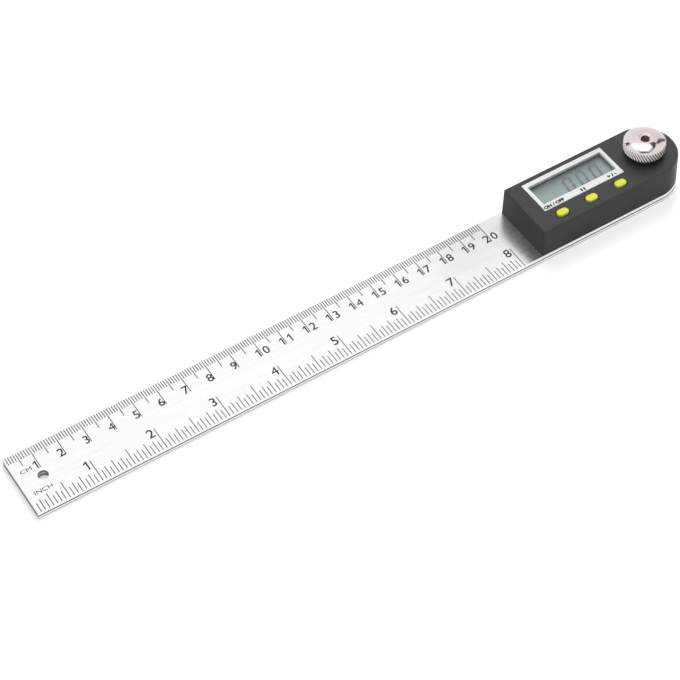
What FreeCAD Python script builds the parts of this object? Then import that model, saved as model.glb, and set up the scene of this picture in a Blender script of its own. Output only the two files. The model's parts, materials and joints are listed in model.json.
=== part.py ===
"""Digital angle rule: two steel blades joined at a pivot under a display head.

The origin is on the pivot axis at the underside of the lower blade.  +X points
from the zero end of the scales towards the round end, +Y from the inch edge to
the centimetre edge and +Z up.  Every length is in millimetres.
"""
import FreeCAD
import Part
import math
import os
from FreeCAD import Vector

# ---- blades -----------------------------------------------------------------
zero_to_pivot = 267.3        # square end of both blades to the pivot axis
blade_width = 27.2
blade_thickness = 1.4
blade_gap = 0.2              # filled by the arm washer
blade_edge_break = 0.1       # chamfer round each face of a blade
hang_hole_dia = 4.0
hang_hole_from_zero = 9.1

# ---- housing ----------------------------------------------------------------
housing_inset = 0.15         # step in from the edge of the upper blade
housing_draft = 1.5          # degrees, all round
housing_wall = 1.5
roof_thickness = 1.8
housing_top_radius = 0.8
housing_corner_radius = 0.7
stiffener_thickness = 0.9
stiffener_depth = 1.2

# ---- display ----------------------------------------------------------------
glass_length = 33.3          # opening in the bezel
bezel_side = 1.6             # bezel beyond the opening at both ends
bezel_front = 3.1            # broad strip in front of the opening
bezel_back = 2.0
bezel_from_front = 9.0       # bezel to the front edge of the blade
bezel_from_back = 2.8        # bezel to the back edge of the blade
bezel_from_pivot = 12.75
bezel_from_end = 6.75        # bezel to the flat end of the housing
bezel_corner_radius = 0.25
bezel_seat_depth = 1.0
bezel_proud = 0.2
bezel_clearance = 0.05
bezel_peg_dia = 1.2
bezel_bevel = 0.15
bezel_edge_break = 0.12
window_overlap = 0.4         # window edge under the bezel, each side
window_clearance = 0.1
lcd_overlap = 1.8            # cell edge beyond the opening, each side
lcd_thickness = 1.8
lcd_wall = 0.6
lcd_clearance = 0.1
zebra_height = 2.4
zebra_width = 1.4
zebra_inset = 1.0

# ---- buttons ----------------------------------------------------------------
button_names = ("power", "hold", "set")
button_pitch = 13.3
button_from_front = 4.85     # row of buttons to the front edge of the blade
button_length = 5.0
button_width = 3.2
button_proud = 0.9
button_clearance = 0.15
button_dome = 0.45           # radius round the top of a button
button_flange = 0.75         # lip under the roof, each side
button_flange_thickness = 0.65
button_float = 0.05          # between the lip and the roof
button_mouth_chamfer = 0.35
button_travel = 0.4
switch_size = 4.4
switch_height = 2.4
plunger_dia = 2.0
plunger_height = 1.3
plunger_clearance = 0.1
plunger_stand = 0.7          # plunger above the switch body

# ---- circuit board ----------------------------------------------------------
board_thickness = 0.8
board_clearance = 0.35
board_screw_dia = 1.6
board_screw_length = 3.6
board_screw_head_dia = 2.8
board_screw_head_height = 0.7
board_screw_slot = 0.35
board_boss_dia = 3.2
board_boss_from_wall = 3.95
board_boss_gap = 0.5         # boss to the display frame
screw_clearance = 0.05
chip_blob_dia = 8.0
chip_blob_height = 1.3
chip_blob_top_dia = 5.6
chip_blob_round = 0.4
capacitor_length = 2.0
capacitor_width = 1.2
capacitor_height = 0.7
capacitor_circle = 8.2
capacitor_angles = (-60, -25, 25, 60)

# ---- battery ----------------------------------------------------------------
battery_from_end = 18.4      # centre of the cell to the flat end
cell_dia = 20.0
cell_height = 3.2
cell_bevel = 0.3
cell_rim_width = 0.9         # step round the top of the cell
cell_lift = 1.1              # cell above the upper blade
well_clearance = 0.3
well_wall = 1.6
well_web_width = 9.0         # webs that join the well to the side walls
cap_flange = 0.95            # cap edge beyond the well bore
cap_clearance = 0.1
cap_top_gap = 0.05           # cap face to the housing
cap_hub_wall = 1.5
cap_lugs = 3
cap_lug_reach = 0.6
cap_lug_height = 0.6
cap_lug_angle = 26.0         # degrees round the hub
cap_entry_angle = 30.0       # degrees of each entry in the well
cap_turn = 45.0              # degrees from locked to free
cap_slot_width = 1.4
cap_slot_length = 12.0
cap_slot_depth = 0.7
seal_width = 0.6
seal_thickness = 0.5
contact_height = 1.5         # top of the cell to the board
contact_thickness = 0.25
contact_width = 4.0
contact_foot = 3.0
contact_tip_rise = 0.4       # share of the gap to the board

# ---- housing screws ---------------------------------------------------------
housing_screw_dia = 2.0
housing_screw_tip_gap = 0.5  # end of a screw to the top of its boss
housing_screw_head_dia = 3.6
housing_screw_slot = 2.2     # length of each arm of the cross recess
housing_boss_dia = 4.4
housing_boss_gap = 0.3       # top of a boss to the rotor
housing_boss_edge = 0.3      # boss run into the wall of the housing

# ---- pivot ------------------------------------------------------------------
stud_dia = 7.0
stud_head_dia = 10.0
stud_head_height = 0.9
stud_neck_dia = 5.0
stud_thread_dia = 3.9
running_clearance = 0.05
arm_washer_dia = 20.0
bush_dia = 9.0
bush_flange_dia = 13.0
bush_flange_thickness = 0.8
bush_height = 2.0            # above the upper blade
spring_height = 0.9          # over the bow of the spring washer
spring_thickness = 0.25
spring_width = 1.8
rotor_dia = 20.0
rotor_thickness = 1.0
rotor_hub_dia = 12.0
stator_gap = 0.3
clip_thickness = 0.4
clip_dia = 8.0
clip_groove_depth = 0.4
clip_gap_angle = 70.0
clip_relief = 1.0
clip_relief_angle = 24.0
board_hole_dia = 9.2
pivot_boss_dia = 9.6
pivot_boss_gap = 0.6         # above the board

# ---- locking knob -----------------------------------------------------------
knob_dia = 16.2
knob_rim_height = 4.3
knob_dome_height = 1.2
knob_rim_break = 0.5
knob_dome_radius = 5.0       # the dome falls by knob_dome_drop at this radius
knob_dome_drop = 0.45
knob_hub_dia = 11.0
knob_hub_height = 1.0
knob_sleeve_dia = 7.0
knob_sleeve_lip = 0.4
knob_lip_height = 0.3
knob_bore_chamfer = 0.3
knob_teeth = 72
knob_tooth_depth = 0.35
thrust_washer_dia = 12.4
thrust_washer_thickness = 0.65
thrust_float = 0.03
sleeve_clearance = 0.1
sleeve_well_clearance = 0.4
stud_below_dome = 2.6        # end of the stud down from the knob's crown

# ---- levels, all from the sizes above ---------------------------------------
half_width = blade_width / 2
z_lower_top = blade_thickness
z_upper_bottom = z_lower_top + blade_gap
z_upper_top = z_upper_bottom + blade_thickness
z_cell_bottom = z_upper_top + cell_lift
z_cell_top = z_cell_bottom + cell_height
z_board_bottom = z_cell_top + contact_height
z_board_top = z_board_bottom + board_thickness
z_lcd_bottom = z_board_top + zebra_height
z_roof_under = z_lcd_bottom + lcd_thickness
z_roof_top = z_roof_under + roof_thickness
z_bezel_seat = z_roof_top - bezel_seat_depth
z_bush_top = z_upper_top + bush_height
z_hub_bottom = z_bush_top + thrust_float + spring_height
z_rotor_top = z_board_bottom - stator_gap
z_rotor_bottom = z_rotor_top - rotor_thickness
z_clip_top = z_rotor_top + clip_thickness
z_boss_top = z_rotor_bottom - housing_boss_gap
z_screw_tip = z_boss_top - housing_screw_tip_gap
z_washer_bottom = z_roof_top + thrust_float
z_knob_hub = z_washer_bottom + thrust_washer_thickness + thrust_float
z_knob_bottom = z_knob_hub + knob_hub_height
z_knob_rim = z_knob_bottom + knob_rim_height
z_knob_crown = z_knob_rim + knob_dome_height
z_sleeve_bottom = z_roof_top - knob_lip_height
z_sleeve_well = z_sleeve_bottom - sleeve_well_clearance
z_stud_shoulder = z_sleeve_bottom - thrust_float - running_clearance
z_stud_top = z_knob_crown - stud_below_dome

# ---- places -----------------------------------------------------------------
bezel_length = glass_length + 2 * bezel_side
bezel_width = blade_width - bezel_from_front - bezel_from_back
bezel_offset = (bezel_from_front - bezel_from_back) / 2
glass_width = bezel_width - bezel_front - bezel_back
glass_offset = bezel_offset + (bezel_front - bezel_back) / 2
button_offset = button_from_front - half_width
housing_reach = bezel_from_pivot + bezel_length + bezel_from_end
battery_x = battery_from_end - housing_reach
display_x = -(bezel_from_pivot + bezel_length / 2)
hang_x = hang_hole_from_zero - zero_to_pivot
base_half = half_width - housing_inset
cavity_half = base_half - housing_wall
board_boss_offset = cavity_half - board_boss_from_wall
well_bore = cell_dia + 2 * well_clearance
cap_dia = well_bore + 2 * cap_flange
lug_dia = well_bore - 2 * cap_clearance + 2 * cap_lug_reach
lcd_length = glass_length + 2 * lcd_overlap
lcd_width = glass_width + 2 * lcd_overlap
frame_length = lcd_length + 2 * (lcd_clearance + lcd_wall)
frame_width = lcd_width + 2 * (lcd_clearance + lcd_wall)
screw_bore = housing_screw_dia + 2 * screw_clearance


def draft_at(z):
    """How far a drafted wall has moved in at the level z."""
    return (z - z_upper_top) * math.tan(math.radians(housing_draft))


def cylinder(dia, z0, z1, x=0.0, y=0.0):
    return Part.makeCylinder(dia / 2, z1 - z0, Vector(x, y, z0))


def cone(dia0, dia1, z0, z1, x=0.0, y=0.0):
    return Part.makeCone(dia0 / 2, dia1 / 2, z1 - z0, Vector(x, y, z0))


def tube(outer, inner, z0, z1, x=0.0, y=0.0):
    """A ring; outer and inner are its diameters."""
    return cylinder(outer, z0, z1, x, y).cut(cylinder(inner, z0, z1, x, y))


def block(length, width, z0, z1, x=0.0, y=0.0):
    """A plain block centred on x and y."""
    return Part.makeBox(length, width, z1 - z0, Vector(x - length / 2, y - width / 2, z0))


def plate(length, width, corner, z0, z1, x=0.0, y=0.0):
    """A block with rounded upright corners."""
    body = block(length, width, z0, z1, x, y)
    upright = [e for e in body.Edges if abs(e.tangentAt(e.FirstParameter).z) > 0.9]
    return body.makeFillet(corner, upright)


def pill(length, width, z0, z1, x=0.0, y=0.0):
    """A bar with half-round ends, lying along X."""
    span = (length - width) / 2
    middle = block(length - width, width, z0, z1, x, y)
    ends = [cylinder(width, z0, z1, x + side * span, y) for side in (-1, 1)]
    return middle.multiFuse(ends).removeSplitter()


def revolve(points, x=0.0, y=0.0):
    """Turn a closed outline of (radius, z) points about an upright axis."""
    wire = Part.makePolygon([Vector(r, 0, z) for r, z in points + points[:1]])
    turned = Part.Face(wire).revolve(Vector(0, 0, 0), Vector(0, 0, 1), 360)
    turned.translate(Vector(x, y, 0))
    return turned


def sector(outer, inner, z0, z1, angle, span, x=0.0, y=0.0):
    """A piece of a ring, centred on an angle and span degrees wide."""
    start = Part.makeCylinder(outer / 2, z1 - z0, Vector(x, y, z0), Vector(0, 0, 1), span)
    start.rotate(Vector(x, y, z0), Vector(0, 0, 1), angle - span / 2)
    return start.cut(cylinder(inner, z0, z1, x, y))


def tongue_wire(reach, half, z):
    """Outline with one square end at -reach and one round end about the pivot."""
    low_end = Vector(-reach, -half, z)
    low_arc = Vector(0, -half, z)
    high_arc = Vector(0, half, z)
    high_end = Vector(-reach, half, z)
    arc = Part.Arc(low_arc, Vector(half, 0, z), high_arc).toShape()
    sides = [Part.makeLine(low_end, low_arc), arc, Part.makeLine(high_arc, high_end)]
    return Part.Wire(sides + [Part.makeLine(high_end, low_end)])


def tongue(reach, half, z0, z1):
    return Part.Face(tongue_wire(reach, half, z0)).extrude(Vector(0, 0, z1 - z0))


def drafted_tongue(reach, half, z0, z1):
    """The same outline drawn in by the draft angle on its way up."""
    low = half - draft_at(z0)
    high = half - draft_at(z1)
    bar = Part.makeWedge(draft_at(z0) - reach, 0, -low, -high, draft_at(z1) - reach,
                         0, z1 - z0, low, high, 0)
    bar.rotate(Vector(0, 0, 0), Vector(1, 0, 0), 90)
    bar.translate(Vector(0, 0, z0))
    return bar.fuse(cone(2 * low, 2 * high, z0, z1)).removeSplitter()


def edges_at(body, z):
    """Edges that lie wholly at one level."""
    return [e for e in body.Edges if abs(e.BoundBox.ZMin - z) + abs(e.BoundBox.ZMax - z) < 1e-4]


# ---- blades -----------------------------------------------------------------
def blank_blade(z0, z1):
    blade = tongue(zero_to_pivot, half_width, z0, z1)
    blade = blade.makeChamfer(blade_edge_break, edges_at(blade, z0) + edges_at(blade, z1))
    return blade.cut(cylinder(hang_hole_dia, z0, z1, hang_x))


def make_lower_blade():
    blade = blank_blade(0, z_lower_top)
    blade = blade.cut(cylinder(stud_dia, 0, z_lower_top))
    return blade.cut(cone(stud_head_dia, stud_dia, 0, stud_head_height))


def make_upper_blade():
    blade = blank_blade(z_upper_bottom, z_upper_top)
    blade = blade.cut(cylinder(bush_dia, z_upper_bottom, z_upper_top))
    blade = blade.cut(cylinder(cap_dia + 2 * cap_clearance, z_upper_bottom, z_upper_top, battery_x))
    for x, y in housing_screw_places():
        blade = blade.cut(cylinder(screw_bore, z_upper_bottom, z_upper_top, x, y))
        blade = blade.cut(screw_head(x, y, screw_clearance))
    return blade


# ---- housing ----------------------------------------------------------------
def housing_screw_places():
    """Two screws by the flat end and two in the round end, close to the wall."""
    from_wall = housing_boss_dia / 2 - housing_boss_edge
    near_x = -(housing_reach - housing_wall - from_wall)
    near_y = cavity_half - from_wall
    diagonal = (cavity_half - from_wall) / math.sqrt(2)
    places = []
    for side in (-1, 1):
        places.append((near_x, side * near_y))
        places.append((diagonal, side * diagonal))
    return places


def board_screw_places():
    """Four screws, one off each corner of the display frame."""
    reach = frame_length / 2 + board_boss_gap + board_boss_dia / 2
    return [(display_x + a * reach, b * board_boss_offset) for a in (-1, 1) for b in (-1, 1)]


def button_places():
    """Name and place of each button, from the flat end to the pivot."""
    middle = (len(button_names) - 1) / 2
    return [(name, display_x + (i - middle) * button_pitch, button_offset)
            for i, name in enumerate(button_names)]


def housing_shell():
    """The drafted outer skin with its rounded top edge, hollowed from below."""
    skin = drafted_tongue(housing_reach, base_half, z_upper_top, z_roof_top)
    rise = (z_roof_top - z_upper_top) / 2
    upright = [e for e in skin.Edges if e.BoundBox.ZLength > rise and e.BoundBox.XMax < display_x]
    skin = skin.makeFillet(housing_corner_radius, upright)
    skin = skin.makeFillet(housing_top_radius, edges_at(skin, z_roof_top))
    reach = housing_reach - housing_wall
    return skin.cut(drafted_tongue(reach, cavity_half, z_upper_top, z_roof_under))


def battery_well():
    """Ring round the cell with a bayonet groove, its entries and a contact slot."""
    well = cylinder(well_bore + 2 * well_wall, z_upper_top, z_cell_top, battery_x)
    well = well.fuse(block(well_web_width, blade_width, z_upper_top, z_cell_top, battery_x))
    well = well.cut(cylinder(well_bore, z_upper_top, z_cell_top, battery_x))
    low = z_upper_top + cap_clearance + (cell_lift - cap_lug_height) / 2
    high = low + cap_lug_height + 2 * cap_clearance
    groove_dia = lug_dia + 2 * cap_clearance
    well = well.cut(cylinder(groove_dia, low, high, battery_x))
    for i in range(cap_lugs):
        angle = lug_angle(i) + cap_turn
        entry = sector(groove_dia, well_bore / 2, z_upper_top, high, angle,
                       cap_entry_angle, battery_x)
        well = well.cut(entry)
    slot_x = battery_x - well_bore / 2
    slot = block(4 * well_wall, contact_width + 2 * cap_clearance,
                 z_cell_bottom, z_cell_top, slot_x)
    return well.cut(slot)


def lug_angle(index):
    return 90 + index * 360 / cap_lugs


def housing_bosses():
    """Columns for the housing screws, the board screws and the stud."""
    bosses = []
    for x, y in housing_screw_places():
        bosses.append(cylinder(housing_boss_dia, z_upper_top, z_boss_top, x, y))
    for x, y in board_screw_places():
        bosses.append(cylinder(board_boss_dia, z_board_top, z_roof_under, x, y))
    bosses.append(cylinder(pivot_boss_dia, z_board_top + pivot_boss_gap, z_roof_under))
    return bosses


def roof_stiffeners():
    """Ribs under the roof from the pivot boss to the wall of the round end."""
    ribs = []
    for angle in (-45, 0, 45):
        reach = cavity_half - pivot_boss_dia / 4
        rib = Part.makeBox(reach, stiffener_thickness, stiffener_depth,
                           Vector(pivot_boss_dia / 4, -stiffener_thickness / 2,
                                  z_roof_under - stiffener_depth))
        rib.rotate(Vector(0, 0, 0), Vector(0, 0, 1), angle)
        ribs.append(rib)
    return ribs


def inside_housing(shape):
    """Trim an inner feature to the drafted skin, a little inside its face."""
    half_wall = housing_wall / 2
    return shape.common(drafted_tongue(housing_reach - half_wall, base_half - half_wall,
                                       z_upper_top, z_roof_under))


def cut_display_opening(housing):
    seat = plate(bezel_length + 2 * bezel_clearance, bezel_width + 2 * bezel_clearance,
                 bezel_corner_radius, z_bezel_seat, z_roof_top, display_x, bezel_offset)
    length = glass_length + 2 * (window_overlap + window_clearance)
    width = glass_width + 2 * (window_overlap + window_clearance)
    opening = block(length, width, z_roof_under, z_roof_top, display_x, glass_offset)
    housing = housing.cut(seat).cut(opening)
    for x, y in bezel_peg_places():
        hole = cylinder(bezel_peg_dia + 2 * bezel_clearance, z_roof_under, z_roof_top, x, y)
        housing = housing.cut(hole)
    return housing


def cut_button_openings(housing):
    length = button_length + 2 * button_clearance
    width = button_width + 2 * button_clearance
    for _, x, y in button_places():
        opening = pill(length, width, z_roof_under, z_roof_top, x, y)
        housing = housing.cut(opening)
    mouths = [e for e in edges_at(housing, z_roof_top) if is_button_mouth(e)]
    return housing.makeChamfer(button_mouth_chamfer, mouths)


def is_button_mouth(edge):
    """True for an edge round the mouth of a button opening."""
    near_y = abs(edge.CenterOfMass.y - button_offset) < button_width
    return near_y and edge.BoundBox.XLength < button_pitch


def make_housing():
    housing = housing_shell()
    inner = [inside_housing(battery_well())]
    inner += [inside_housing(boss) for boss in housing_bosses()]
    inner += [inside_housing(rib) for rib in roof_stiffeners()]
    housing = housing.multiFuse(inner)
    for x, y in housing_screw_places():
        housing = housing.cut(cylinder(screw_bore, z_upper_top, z_boss_top, x, y))
    bore = board_screw_dia + 2 * screw_clearance
    for x, y in board_screw_places():
        housing = housing.cut(cylinder(bore, z_board_top, z_board_top + board_screw_length, x, y))
    housing = housing.cut(cylinder(stud_neck_dia + 2 * running_clearance, z_board_top, z_roof_top))
    lip_dia = knob_sleeve_dia + 2 * (knob_sleeve_lip + sleeve_well_clearance)
    housing = housing.cut(cylinder(lip_dia, z_sleeve_well, z_roof_top))
    housing = cut_display_opening(housing)
    return cut_button_openings(housing)


# ---- display ----------------------------------------------------------------
def bezel_peg_places():
    """Two locating pegs under the broad front strip of the bezel."""
    y = (bezel_offset - bezel_width / 2 + glass_offset - glass_width / 2 - window_overlap) / 2
    return [(display_x + side * bezel_length / 3, y) for side in (-1, 1)]


def make_display_bezel():
    top = z_roof_top + bezel_proud
    bezel = plate(bezel_length, bezel_width, bezel_corner_radius, z_bezel_seat, top,
                  display_x, bezel_offset)
    bezel = bezel.makeChamfer(bezel_edge_break, edges_at(bezel, top))
    opening = block(glass_length, glass_width, z_bezel_seat, top, display_x, glass_offset)
    bezel = bezel.cut(opening)
    inner = [e for e in edges_at(bezel, top) if abs(e.CenterOfMass.y - glass_offset) <= glass_width / 2
             and abs(e.CenterOfMass.x - display_x) <= glass_length / 2]
    bezel = bezel.makeChamfer(bezel_bevel, inner)
    pegs = [cylinder(bezel_peg_dia, z_roof_under, z_bezel_seat, x, y) for x, y in bezel_peg_places()]
    return bezel.multiFuse(pegs).removeSplitter()


def make_display_window():
    return block(glass_length + 2 * window_overlap, glass_width + 2 * window_overlap,
                 z_roof_under, z_bezel_seat, display_x, glass_offset)


def make_lcd_panel():
    return block(lcd_length, lcd_width, z_lcd_bottom, z_roof_under, display_x, glass_offset)


def make_lcd_frame():
    """Open frame that holds the cell and the contact strips over the board."""
    outer = plate(frame_length, frame_width, lcd_wall, z_board_top, z_roof_under,
                  display_x, glass_offset)
    length = lcd_length + 2 * lcd_clearance
    width = lcd_width + 2 * lcd_clearance
    return outer.cut(block(length, width, z_board_top, z_roof_under, display_x, glass_offset))


def make_zebra_strips():
    strips = []
    for side in (-1, 1):
        y = glass_offset + side * (lcd_width / 2 - zebra_inset)
        strips.append(block(glass_length, zebra_width, z_board_top, z_lcd_bottom, display_x, y))
    return Part.makeCompound(strips)


# ---- board ------------------------------------------------------------------
def make_main_board():
    inset = board_clearance + draft_at(z_board_top)
    board = tongue(housing_reach - housing_wall - inset, cavity_half - inset,
                   z_board_bottom, z_board_top)
    board = board.cut(cylinder(board_hole_dia, z_board_bottom, z_board_top))
    bore = board_screw_dia + 2 * screw_clearance
    for x, y in board_screw_places():
        board = board.cut(cylinder(bore, z_board_bottom, z_board_top, x, y))
    return board


def make_chip_blob():
    """Low mound of potting over the chip."""
    blob = cone(chip_blob_dia, chip_blob_top_dia, z_board_top, z_board_top + chip_blob_height,
                display_x, glass_offset)
    return blob.makeChamfer(chip_blob_round, edges_at(blob, z_board_top + chip_blob_height))


def make_board_capacitors():
    parts = []
    for angle in capacitor_angles:
        part = block(capacitor_width, capacitor_length, z_board_top,
                     z_board_top + capacitor_height, capacitor_circle)
        part.rotate(Vector(0, 0, 0), Vector(0, 0, 1), angle)
        parts.append(part)
    return Part.makeCompound(parts)


def make_board_screws():
    """Pan-head screws from below, through the board into the bosses of the roof."""
    screws = []
    head_bottom = z_board_bottom - board_screw_head_height
    for x, y in board_screw_places():
        tip = z_board_top + board_screw_length - screw_clearance
        shank = cylinder(board_screw_dia, z_board_bottom, tip, x, y)
        head = cone(board_screw_head_dia - board_screw_head_height, board_screw_head_dia,
                    head_bottom, z_board_bottom, x, y)
        for length, width in ((board_screw_head_dia / 2, board_screw_slot),
                              (board_screw_slot, board_screw_head_dia / 2)):
            head = head.cut(block(length, width, head_bottom, head_bottom + board_screw_slot, x, y))
        screws.append(shank.fuse(head))
    return Part.makeCompound(screws)


def screw_head(x, y, room=0.0):
    """Countersunk head whose flat face is flush with the upper blade's underside."""
    height = (housing_screw_head_dia - housing_screw_dia) / 2
    return cone(housing_screw_head_dia + 2 * room, housing_screw_dia + 2 * room,
                z_upper_bottom, z_upper_bottom + height, x, y)


def make_housing_screws():
    screws = []
    slot = housing_screw_slot
    for x, y in housing_screw_places():
        shank = cylinder(housing_screw_dia, z_upper_bottom, z_screw_tip, x, y)
        screw = shank.fuse(screw_head(x, y))
        for length, width in ((slot, board_screw_slot), (board_screw_slot, slot)):
            screw = screw.cut(block(length, width, z_upper_bottom,
                                    z_upper_bottom + board_screw_slot, x, y))
        screws.append(screw)
    return Part.makeCompound(screws)


# ---- battery ----------------------------------------------------------------
def make_coin_cell():
    cell = cylinder(cell_dia, z_cell_bottom, z_cell_top, battery_x)
    cell = cell.makeChamfer(cell_bevel, edges_at(cell, z_cell_bottom))
    rim = tube(cell_dia, cell_dia - 2 * cell_rim_width, z_cell_top - cell_bevel, z_cell_top, battery_x)
    return cell.cut(rim)


def make_battery_contact_positive():
    """Bent strip from the board down to the side of the cell."""
    x = battery_x - cell_dia / 2
    leg = block(contact_thickness, contact_width, z_cell_bottom + cell_bevel, z_board_bottom,
                x - contact_thickness / 2)
    foot = block(contact_foot, contact_width, z_board_bottom - contact_thickness, z_board_bottom,
                 x - contact_foot / 2)
    return leg.fuse(foot).removeSplitter()


def make_battery_contact_negative():
    """Leaf spring under the board, bent down on to the top of the cell."""
    top = z_board_bottom - contact_thickness
    tip = z_cell_top + (top - z_cell_top) * contact_tip_rise
    reach = cell_dia / 3
    line = [(-reach - contact_foot, top), (-reach, top), (-contact_foot / 2, z_cell_top),
            (contact_foot / 2, z_cell_top), (contact_foot, tip)]
    upper = [(x, z + contact_thickness) for x, z in reversed(line)]
    points = [Vector(battery_x + x, -contact_width / 2, z) for x, z in line + upper + line[:1]]
    return Part.Face(Part.makePolygon(points)).extrude(Vector(0, contact_width, 0))


def make_battery_cap():
    """Round cap flush with the upper blade, with bayonet lugs and a coin slot."""
    top = z_upper_top - cap_top_gap
    hub_top = z_cell_bottom
    hub_dia = well_bore - 2 * cap_clearance
    cap = cylinder(cap_dia, z_upper_bottom, top, battery_x)
    cap = cap.fuse(tube(hub_dia, hub_dia - 2 * cap_hub_wall, top, hub_top, battery_x))
    low = z_upper_top + 2 * cap_clearance + (cell_lift - cap_lug_height) / 2
    for i in range(cap_lugs):
        cap = cap.fuse(sector(lug_dia, hub_dia - cap_hub_wall, low, low + cap_lug_height,
                              lug_angle(i), cap_lug_angle, battery_x))
    cap = cap.cut(seal_groove())
    slot = pill(cap_slot_length, cap_slot_width, z_upper_bottom, z_upper_bottom + cap_slot_depth,
                battery_x)
    return cap.cut(slot)


def seal_ring_sizes():
    inner = well_bore + cap_clearance
    return inner + 2 * seal_width, inner


def seal_groove():
    outer, inner = seal_ring_sizes()
    top = z_upper_top - cap_top_gap
    return tube(outer, inner, top - seal_thickness, top, battery_x)


def make_cap_seal():
    """Flat rubber ring, proud of the cap by part of the gap to the housing."""
    outer, inner = seal_ring_sizes()
    top = z_upper_top - cap_top_gap
    return tube(outer, inner, top - seal_thickness, top + cap_top_gap / 2, battery_x)


# ---- buttons ----------------------------------------------------------------
def make_button(x, y):
    """Pill-shaped key with a lip that keeps it under the roof."""
    lip_top = z_roof_under - button_float
    lip_bottom = lip_top - button_flange_thickness
    top = z_roof_top + button_proud
    key = pill(button_length, button_width, lip_top, top, x, y)
    key = key.makeFillet(button_dome, edges_at(key, top))
    lip = pill(button_length + 2 * button_flange, button_width + 2 * button_flange,
               lip_bottom, lip_top, x, y)
    foot = cylinder(plunger_dia, z_plunger_top(), lip_bottom, x, y)
    return key.multiFuse([lip, foot])


def z_plunger_top():
    return z_board_top + switch_height + plunger_stand


def make_plunger(x, y):
    return cylinder(plunger_dia, z_plunger_top() - plunger_height, z_plunger_top(), x, y)


def make_tact_switches():
    """One switch body under each button, bored for its plunger and the travel."""
    switches = []
    z1 = z_board_top + switch_height
    floor = z_plunger_top() - plunger_height - button_travel - plunger_clearance
    for _, x, y in button_places():
        body = block(switch_size, switch_size, z_board_top, z1, x, y)
        switches.append(body.cut(cylinder(plunger_dia + 2 * plunger_clearance, floor, z1, x, y)))
    return Part.makeCompound(switches)


# ---- pivot ------------------------------------------------------------------
def make_pivot_stud():
    """Countersunk foot, bearing, neck with a clip groove, and threaded end."""
    neck = stud_neck_dia / 2
    groove = neck - clip_groove_depth
    thread = stud_thread_dia / 2
    return revolve([
        (0, 0), (stud_head_dia / 2, 0), (stud_dia / 2, stud_head_height), (stud_dia / 2, z_hub_bottom),
        (neck, z_hub_bottom), (neck, z_rotor_top), (groove, z_rotor_top), (groove, z_clip_top),
        (neck, z_clip_top), (neck, z_stud_shoulder), (thread, z_stud_shoulder),
        (thread, z_stud_top - knob_bore_chamfer), (thread - knob_bore_chamfer, z_stud_top), (0, z_stud_top)])


def make_arm_washer():
    return tube(arm_washer_dia, stud_dia + 2 * running_clearance, z_lower_top, z_upper_bottom)


def make_pivot_bush():
    """Flanged bearing seated in the upper blade."""
    bore = stud_dia / 2 + running_clearance
    flange_top = z_upper_top + bush_flange_thickness
    return revolve([
        (bore, z_upper_bottom), (bush_dia / 2, z_upper_bottom), (bush_dia / 2, z_upper_top),
        (bush_flange_dia / 2, z_upper_top), (bush_flange_dia / 2, flange_top),
        (bush_dia / 2, flange_top), (bush_dia / 2, z_bush_top), (bore, z_bush_top)])


def make_spring_washer():
    """Ring bowed about the Y axis: a curved strip trimmed to inner and outer circles."""
    inner = stud_dia / 2 + running_clearance
    outer = inner + spring_width
    bow = spring_height - spring_thickness
    radius = (outer ** 2 + bow ** 2) / (2 * bow)
    crown = z_bush_top + thrust_float + spring_height
    axis_start = Vector(0, -outer, crown - radius)
    skin = Part.makeCylinder(radius, 2 * outer, axis_start, Vector(0, 1, 0))
    core = Part.makeCylinder(radius - spring_thickness, 2 * outer, axis_start, Vector(0, 1, 0))
    ring = tube(2 * outer, 2 * inner, crown - 2 * spring_height, crown)
    return ring.common(skin.cut(core))


def make_encoder_rotor():
    bore = stud_neck_dia / 2
    return revolve([
        (bore, z_hub_bottom), (rotor_hub_dia / 2, z_hub_bottom), (rotor_hub_dia / 2, z_rotor_bottom),
        (rotor_dia / 2, z_rotor_bottom), (rotor_dia / 2, z_rotor_top), (bore, z_rotor_top)])


def make_rotor_clip():
    """Open ring snapped into the groove of the stud."""
    inner = stud_neck_dia - 2 * clip_groove_depth
    ring = tube(clip_dia, inner, z_rotor_top, z_clip_top)
    ring = ring.cut(sector(2 * clip_dia, inner / 2, z_rotor_top, z_clip_top, 0, clip_gap_angle))
    for angle in (120, 240):
        relief = sector(stud_neck_dia + clip_relief, inner / 2, z_rotor_top, z_clip_top,
                        angle, clip_relief_angle)
        ring = ring.cut(relief)
    return ring


# ---- locking knob -----------------------------------------------------------
def knob_blank():
    """The head of the knob before knurling: broken rim edges and a domed crown."""
    radius = knob_dia / 2
    bore = stud_thread_dia / 2 + running_clearance
    profile = [
        Part.makeLine(Vector(bore, 0, z_knob_bottom), Vector(radius - knob_rim_break, 0, z_knob_bottom)),
        Part.makeLine(Vector(radius - knob_rim_break, 0, z_knob_bottom),
                      Vector(radius, 0, z_knob_bottom + knob_rim_break)),
        Part.makeLine(Vector(radius, 0, z_knob_bottom + knob_rim_break),
                      Vector(radius, 0, z_knob_rim - knob_rim_break)),
        Part.Arc(Vector(radius, 0, z_knob_rim - knob_rim_break),
                 Vector(knob_dome_radius, 0, z_knob_crown - knob_dome_drop),
                 Vector(bore + knob_bore_chamfer, 0, z_knob_crown)).toShape(),
        Part.makeLine(Vector(bore + knob_bore_chamfer, 0, z_knob_crown),
                      Vector(bore, 0, z_knob_crown - knob_bore_chamfer)),
        Part.makeLine(Vector(bore, 0, z_knob_crown - knob_bore_chamfer), Vector(bore, 0, z_knob_bottom))]
    return Part.Face(Part.Wire(profile)).revolve(Vector(0, 0, 0), Vector(0, 0, 1), 360)


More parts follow.
